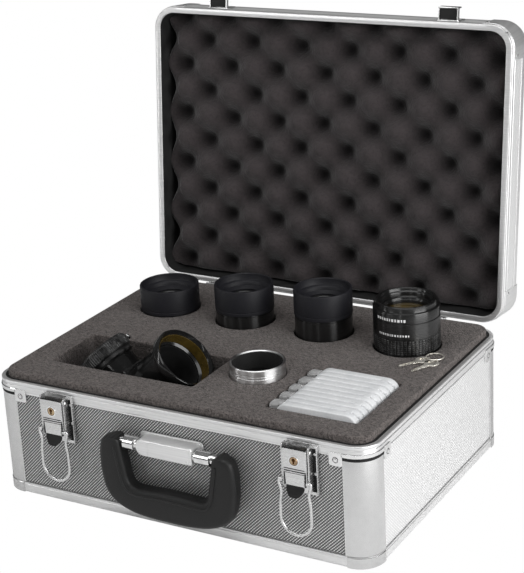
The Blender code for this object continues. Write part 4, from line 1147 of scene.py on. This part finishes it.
piece("barlow_glass", turned(glass, (bx, by, 0), 72, False), "barlow", "coated_glass", amber,
      stands_for="barlow_lens")

bars = ((-122, top - 11.4 * MM, 2.6 * MM, (2.4, 1.6, 1.2, 2.0, 1.5, 1.1, 2.1, 1.5, 2.2, 1.3, 1.9)),
        (-118, 139.0 * MM, 1.9 * MM, (1.4, 0.9, 1.8, 1.2, 1.6, 0.8, 1.4, 1.9, 1.1, 1.5, 1.2, 1.7, 0.9)))
marks = []
for degrees, z, size, lengths in bars:
    a = math.radians(degrees)
    for length in lengths:
        b = a + length * MM / BARLOW_R
        turns = (a, (a + b) / 2, b)
        edge = [(BARLOW_R - 0.1 * MM, t) for t in turns]
        edge += [(BARLOW_R + 0.06 * MM, t) for t in reversed(turns)]
        flat = [(bx + r * math.cos(t), by + r * math.sin(t)) for r, t in edge]
        marks.append(slab(flat, z - size / 2, z + size / 2))
        a = b + 1.1 * MM / BARLOW_R
piece("barlow_marks", merge(*marks), "barlow", "barrel_plating", mark)
print("barlow marks made at radius", BARLOW_R)

# %% [markdown]
# The star diagonal is a mirror housing with a wide port that screws on a telescope, and a socket for an
# eyepiece. Both rise at 45 degrees from the mirror. The collar of the socket is ribbed, with two thumbscrews.

# %% Star diagonal
M = Vector((-81 * MM, -63.5 * MM, 77 * MM))
RIGHT, LEFT = Vector((1, 0, 1)).normalized(), Vector((-1, 0, 1)).normalized()
HALF_THICK = 27.5 * MM
shape = mm([(-36, -12), (36, -12), (39.5, -8), (39.5, 1.5), (0, 41), (-39.5, 1.5), (-39.5, -8)], (M.x, M.z))
housing = slab(soften(shape, 3 * MM, 4), M.y - HALF_THICK, M.y + HALF_THICK, 1.2 * MM, "Y")
port = mm([(0.2, 22), (27.2, 22), (27.6, 60), (28.2, 63.6), (30.3, 64.4), (30.8, 65.4), (30.8, 72.2),
           (30.4, 73.1), (29.7, 73.5), (0.2, 73.5)])
stub = mm([(0.2, 20), (22, 20), (22, 43.7), (0.2, 43.7)])
solid = carve(housing, turned(port, M, 96, False, RIGHT), turned(stub, M, 72, False, LEFT), join=True)
bore = mm([(0.2, 21.3), (23.4, 21.3), (23.4, 40), (24, 40.5), (24, 58), (26.4, 60), (27.0, 70.6),
           (28.4, 72.4), (29.2, 74), (29.2, 90), (0.2, 90)])
solid = carve(solid, turned(bore, M, 72, False, RIGHT),
              turned(mm([(15.8, 21.3), (15.8, 60)]), M, 48, False, LEFT),
              slab(mm([(-31, 0), (31, 0), (0, 31)], (M.x, M.z)), M.y - 22 * MM, M.y + 22 * MM, axis="Y"),
              block_at(M, (-26, -22.5, -7), (26, 22.5, 1)))
piece("diagonal_housing", solid, "diagonal", "black_anodised", gloss_black, stands_for="diagonal_body",
      sharp=30)
sleeve = turned(mm([(23.3, 23), (23.3, 57.5), (22.9, 57.5), (22.9, 23)]), M, 72, True, RIGHT)
piece("diagonal_baffle", sleeve, "diagonal", "black_anodised", matte_black)
tint = turned(mm([(26.3, 60.4), (26.9, 70.2), (26.3, 70.2), (25.7, 60.4)]), M, 72, True, RIGHT)
piece("diagonal_thread_ring", tint, "diagonal", "black_anodised", amber)
plate = block_at(M, (-25.7, -22.2, -6.7), (25.7, 22.2, -0.7), 0.5)
piece("diagonal_mirror_plate", plate, "diagonal", "mirror_coating", silvered, stands_for="diagonal_mirror")
for name, sign in (("near", -1), ("far", 1)):
    spots = mm([(-30, 0, -6), (30, 0, -6), (0, 0, 30)], (M.x, M.y + sign * HALF_THICK, M.z))
    screws = merge(*[rivet(spot, (0, sign, 0), 1.7, 0.5) for spot in spots])
    piece(f"diagonal_screws_{name}", screws, "diagonal", "black_anodised", chrome)

ribs = 72
ring = []
for r, h, drop in ((15.8, 44, 0), (23.5, 44, 0), (25, 45.5, 0), (25, 48.6, 0), (25.6, 49.2, 0),
                   (26.9, 50.2, 0.6), (26.9, 59.2, 0.6), (26.0, 60.2, 0), (25.4, 61.2, 0), (24.8, 61.9, 0),
                   (17.0, 61.9, 0), (15.8, 61.0, 0)):
    sizes = [r - drop, r, r, r - drop] * ribs
    turns = [2 * math.pi * j / len(sizes) for j in range(len(sizes))]
    ring.append(mm([(size * math.cos(a), size * math.sin(a), h) for size, a in zip(sizes, turns)]))
turn = standing(M, LEFT)
piece("diagonal_collar_ribbed", spun(skin(ring, True), turn), "eyepiece_holder", "black_anodised",
      knurl_black, stands_for="diagonal_collar", sharp=25)
knob = mm([(1.2, 0), (1.2, 1.2), (2.6, 1.4), (2.8, 1.8), (2.8, 3.6), (2.3, 4.0), (0.3, 4.1)])
screws = []
for a in (math.radians(35), math.radians(150)):
    out = turn.to_3x3() @ Vector((math.cos(a), math.sin(a), 0))
    screws.append(turned(knob, M + LEFT * 54.5 * MM + out * 26 * MM, 24, False, out))
piece("diagonal_thumbscrews", merge(*screws), "eyepiece_holder", "chrome_hardware", chrome)
print("diagonal made about", tuple(round(v, 4) for v in M))

# %% [markdown]
# The last items are small: a bright adapter ring with thread inside, five hinged filter boxes standing on
# edge, and two keys on a split ring.

# %% Adapter ring
r, top, low = (ring_high.x - ring_low.x) / 2, ring_high.z, ring_low.z
at = (middle("adapter_ring").x, middle("adapter_ring").y, 0)
section = mm([(-2.2, 0), (0, 0)], (r, low))
section += mm([(0, -9.0), (-0.8, -8.6), (-0.8, -7.8), (-0.2, -7.4), (-0.2, -6.6), (-0.8, -6.2),
               (-0.8, -5.6), (0, -5.1), (0, -0.5), (-0.5, 0), (-1.6, 0), (-2.2, -0.6)], (r, top))
piece("adapter", turned(section, at, 112), "adapter", "aluminium_trim", bright_satin,
      stands_for="adapter_ring", sharp=28)
# The thread inside is black: painted shade in the ring's bore.
thread = mm([(-2.2, 1)], (r, low)) + mm([(-2.2, -1.2)], (r, top))
for k in range(16):
    thread += mm([(-2.8, -1.6 - k), (-2.4, -2.1 - k)], (r, top))
thread += mm([(-2.8, 1)], (r, low))
piece("adapter_thread_shade", turned(thread, at, 72), "adapter", "aluminium_trim", matte_black, sharp=28)

# %% Filter boxes
for i, (case_low, case_high) in enumerate(case_boxes, 1):
    left, right = case_low.x + 9.2 * MM, case_high.x
    y, half = (case_low.y + case_high.y) / 2, (case_high.y - case_low.y) / 2
    low, high = case_low.z, case_high.z
    face = rounded_box(left, right, low, high, (3 * MM, 3 * MM, 11 * MM, 11 * MM), 6)
    parts = [slab(face, a, b, 1.4 * MM, "Y", 4)
             for a, b in ((y - half, y - 0.35 * MM), (y + 0.35 * MM, y + half))]
    parts.append(block((left + 1 * MM, y - 0.6 * MM, low + 1 * MM),
                       (right - 1.2 * MM, y + 0.6 * MM, high - 3.5 * MM)))
    parts.append(block_at((right, y, high), (-14, -2.2, -0.8), (-8, 2.2, 0.2), 0.4))
    piece(f"filter_box_{i}", merge(*parts), f"filter_{i}", "clear_plastic", frosted,
          stands_for=f"filter_case_{i}")
    finger = rounded_box(case_low.x, left + 5 * MM, high - 22 * MM, high - 1.5 * MM,
                         (3 * MM, 1 * MM, 1 * MM, 5.5 * MM), 6)
    piece(f"filter_hinge_{i}", slab(finger, y - half + 3 * MM, y + half - 3 * MM, 3.6 * MM, "Y", 5),
          f"filter_{i}", "clear_plastic", clear)
print("filter boxes:", len(case_boxes))

# %% Keys
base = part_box("keys")[0].z
spring = []
for k in range(49):
    a = 2 * math.pi * k / 24
    spring.append((169 + 8 * math.cos(a), 42 + 8 * math.sin(a), 0.55 + 0.7 * k / 48))
parts = [wire([Vector(p) for p in mm(spring, (0, 0, base))], 0.5 * MM, 8)]
blade = mm([(6.2, -2.6), (9.4, -2.6), (9.8, -2.2), (23.0, -2.2), (25.2, -0.4), (24.2, 0.8), (22.8, 0.4),
            (21.6, 1.6), (20.0, 0.7), (18.4, 1.9), (16.8, 0.9), (15.0, 2.0), (13.2, 1.1), (11.6, 2.2),
            (9.6, 2.2), (9.2, 2.8), (6.2, 2.8)])
low, high = base + 0.1 * MM, base + 1.4 * MM
for x, y, degrees in ((162, 31, 236), (172, 27.5, 249)):
    turn = Matrix.Translation((x * MM, y * MM, 0)) @ Matrix.Rotation(math.radians(degrees), 4, "Z")
    bow = slab(circle((0, 0), 6.9 * MM, 40), low, high, 0.3 * MM)
    hole = rod(1.9, 1000, (-4.0 * MM, 0, 0), (0, 0, 1), 24)
    panel = slab(circle((0.8 * MM, 0), 3.0 * MM, 32), high - 0.25 * MM, high + 1 * MM)
    shank = slab(blade, low + 0.15 * MM, high - 0.15 * MM, 0.15 * MM)
    groove = block_at((0, 0, high), (10, -1.1, -0.45), (23, -0.5, 1))
    parts += [spun(carve(bow, hole, panel), turn), spun(carve(shank, groove), turn)]
piece("key_set", merge(*parts), "key_set", "chrome_hardware", key_metal, stands_for="keys")
print("keys at", round(base, 4))

# %% [markdown]
# ## Light and camera
# The case is lit by large soft lamps. A strong one on the right makes the rim bright and, with the painted
# light on the side sheet, the right side nearly white; a weaker one in front shows the pressed sheet, and a
# top lamp rounds the foam. The background is plain white to the camera, and a pale floor, which the camera
# doesn't see, bounces light upwards.

# %% Background and floor
scene = bpy.context.scene
world = bpy.data.worlds.new("Studio")
world.use_nodes = True
scene.world = world
m = Maker(world.node_tree)
seen = m.add("LightPath").outputs["Is Camera Ray"]
height = m.add("SeparateXYZ", {"Vector": m.add("TexCoord").outputs["Generated"]}).outputs["Z"]
glow = m.remap(height, -0.2, 0.7, 0.05, 0.18)
shade = m.add("CombineColor", {"Red": glow, "Green": glow, "Blue": glow}).outputs[0]
background = world.node_tree.nodes["Background"]
m.put(m.mix(seen, shade, rgba(1.0)), background.inputs["Color"])
background.inputs["Strength"].default_value = 1.0

floor_mesh = bpy.data.meshes.new("floor")
floor_mesh.from_pydata([(-3, -3, -0.0005), (3, -3, -0.0005), (3, 3, -0.0005), (-3, 3, -0.0005)], [],
                       [(0, 1, 2, 3)])
floor = bpy.data.objects.new("floor", floor_mesh)
scene.collection.objects.link(floor)
floor_mesh.materials.append(coat(finish("White paper", 0.88, 0.9), 3.0, (0.86, 0.90)))
floor.visible_camera = False
print("world and floor ready")


# %% Lamps
def lamp(name, place, target, size, power):
    """A rectangular lamp at a place, turned to a target."""
    data = bpy.data.lights.new(name, "AREA")
    data.shape = "RECTANGLE"
    data.size, data.size_y = size
    data.energy = power
    item = bpy.data.objects.new(name, data)
    item.location = place
    item.rotation_euler = (Vector(target) - Vector(place)).to_track_quat("-Z", "Y").to_euler()
    scene.collection.objects.link(item)


lamp("key_right", (1.5, -0.3, 0.6), (0, 0, 0.1), (1.2, 1.0), 25)
lamp("soft_top", (0.1, -0.3, 1.7), (0, 0, 0.1), (1.4, 1.0), 13)
lamp("front_fill", (-0.9, -1.5, 0.9), (0, 0, 0.1), (0.6, 0.8), 4.5)
lamp("strip_left", (-1.1, -0.7, 0.5), (0, 0, 0.15), (0.10, 1.2), 2.5)
lamp("strip_front", (0.25, -1.7, 0.6), (0, 0, 0.15), (0.06, 1.2), 1.5)

# %% Camera
lens = bpy.data.cameras.new("view")
camera = bpy.data.objects.new("view", lens)
scene.collection.objects.link(camera)
place, target = Vector((0.7216, -1.1941, 0.6932)), Vector((0.1142, -0.1647, 0.2522))
roll = math.radians(-3.11)
back = (place - target).normalized()
right = (-back).cross(Vector((0, 0, 1))).normalized()
up = right.cross(-back)
across = math.cos(roll) * right + math.sin(roll) * up
upright = -math.sin(roll) * right + math.cos(roll) * up
camera.matrix_world = Matrix.Translation(place) @ Matrix((across, upright, back)).transposed().to_4x4()
lens.lens, lens.sensor_width = 101.8, 36
scene.camera = camera
scene.view_settings.view_transform = "Standard"
print("camera at", tuple(round(v, 3) for v in camera.location))
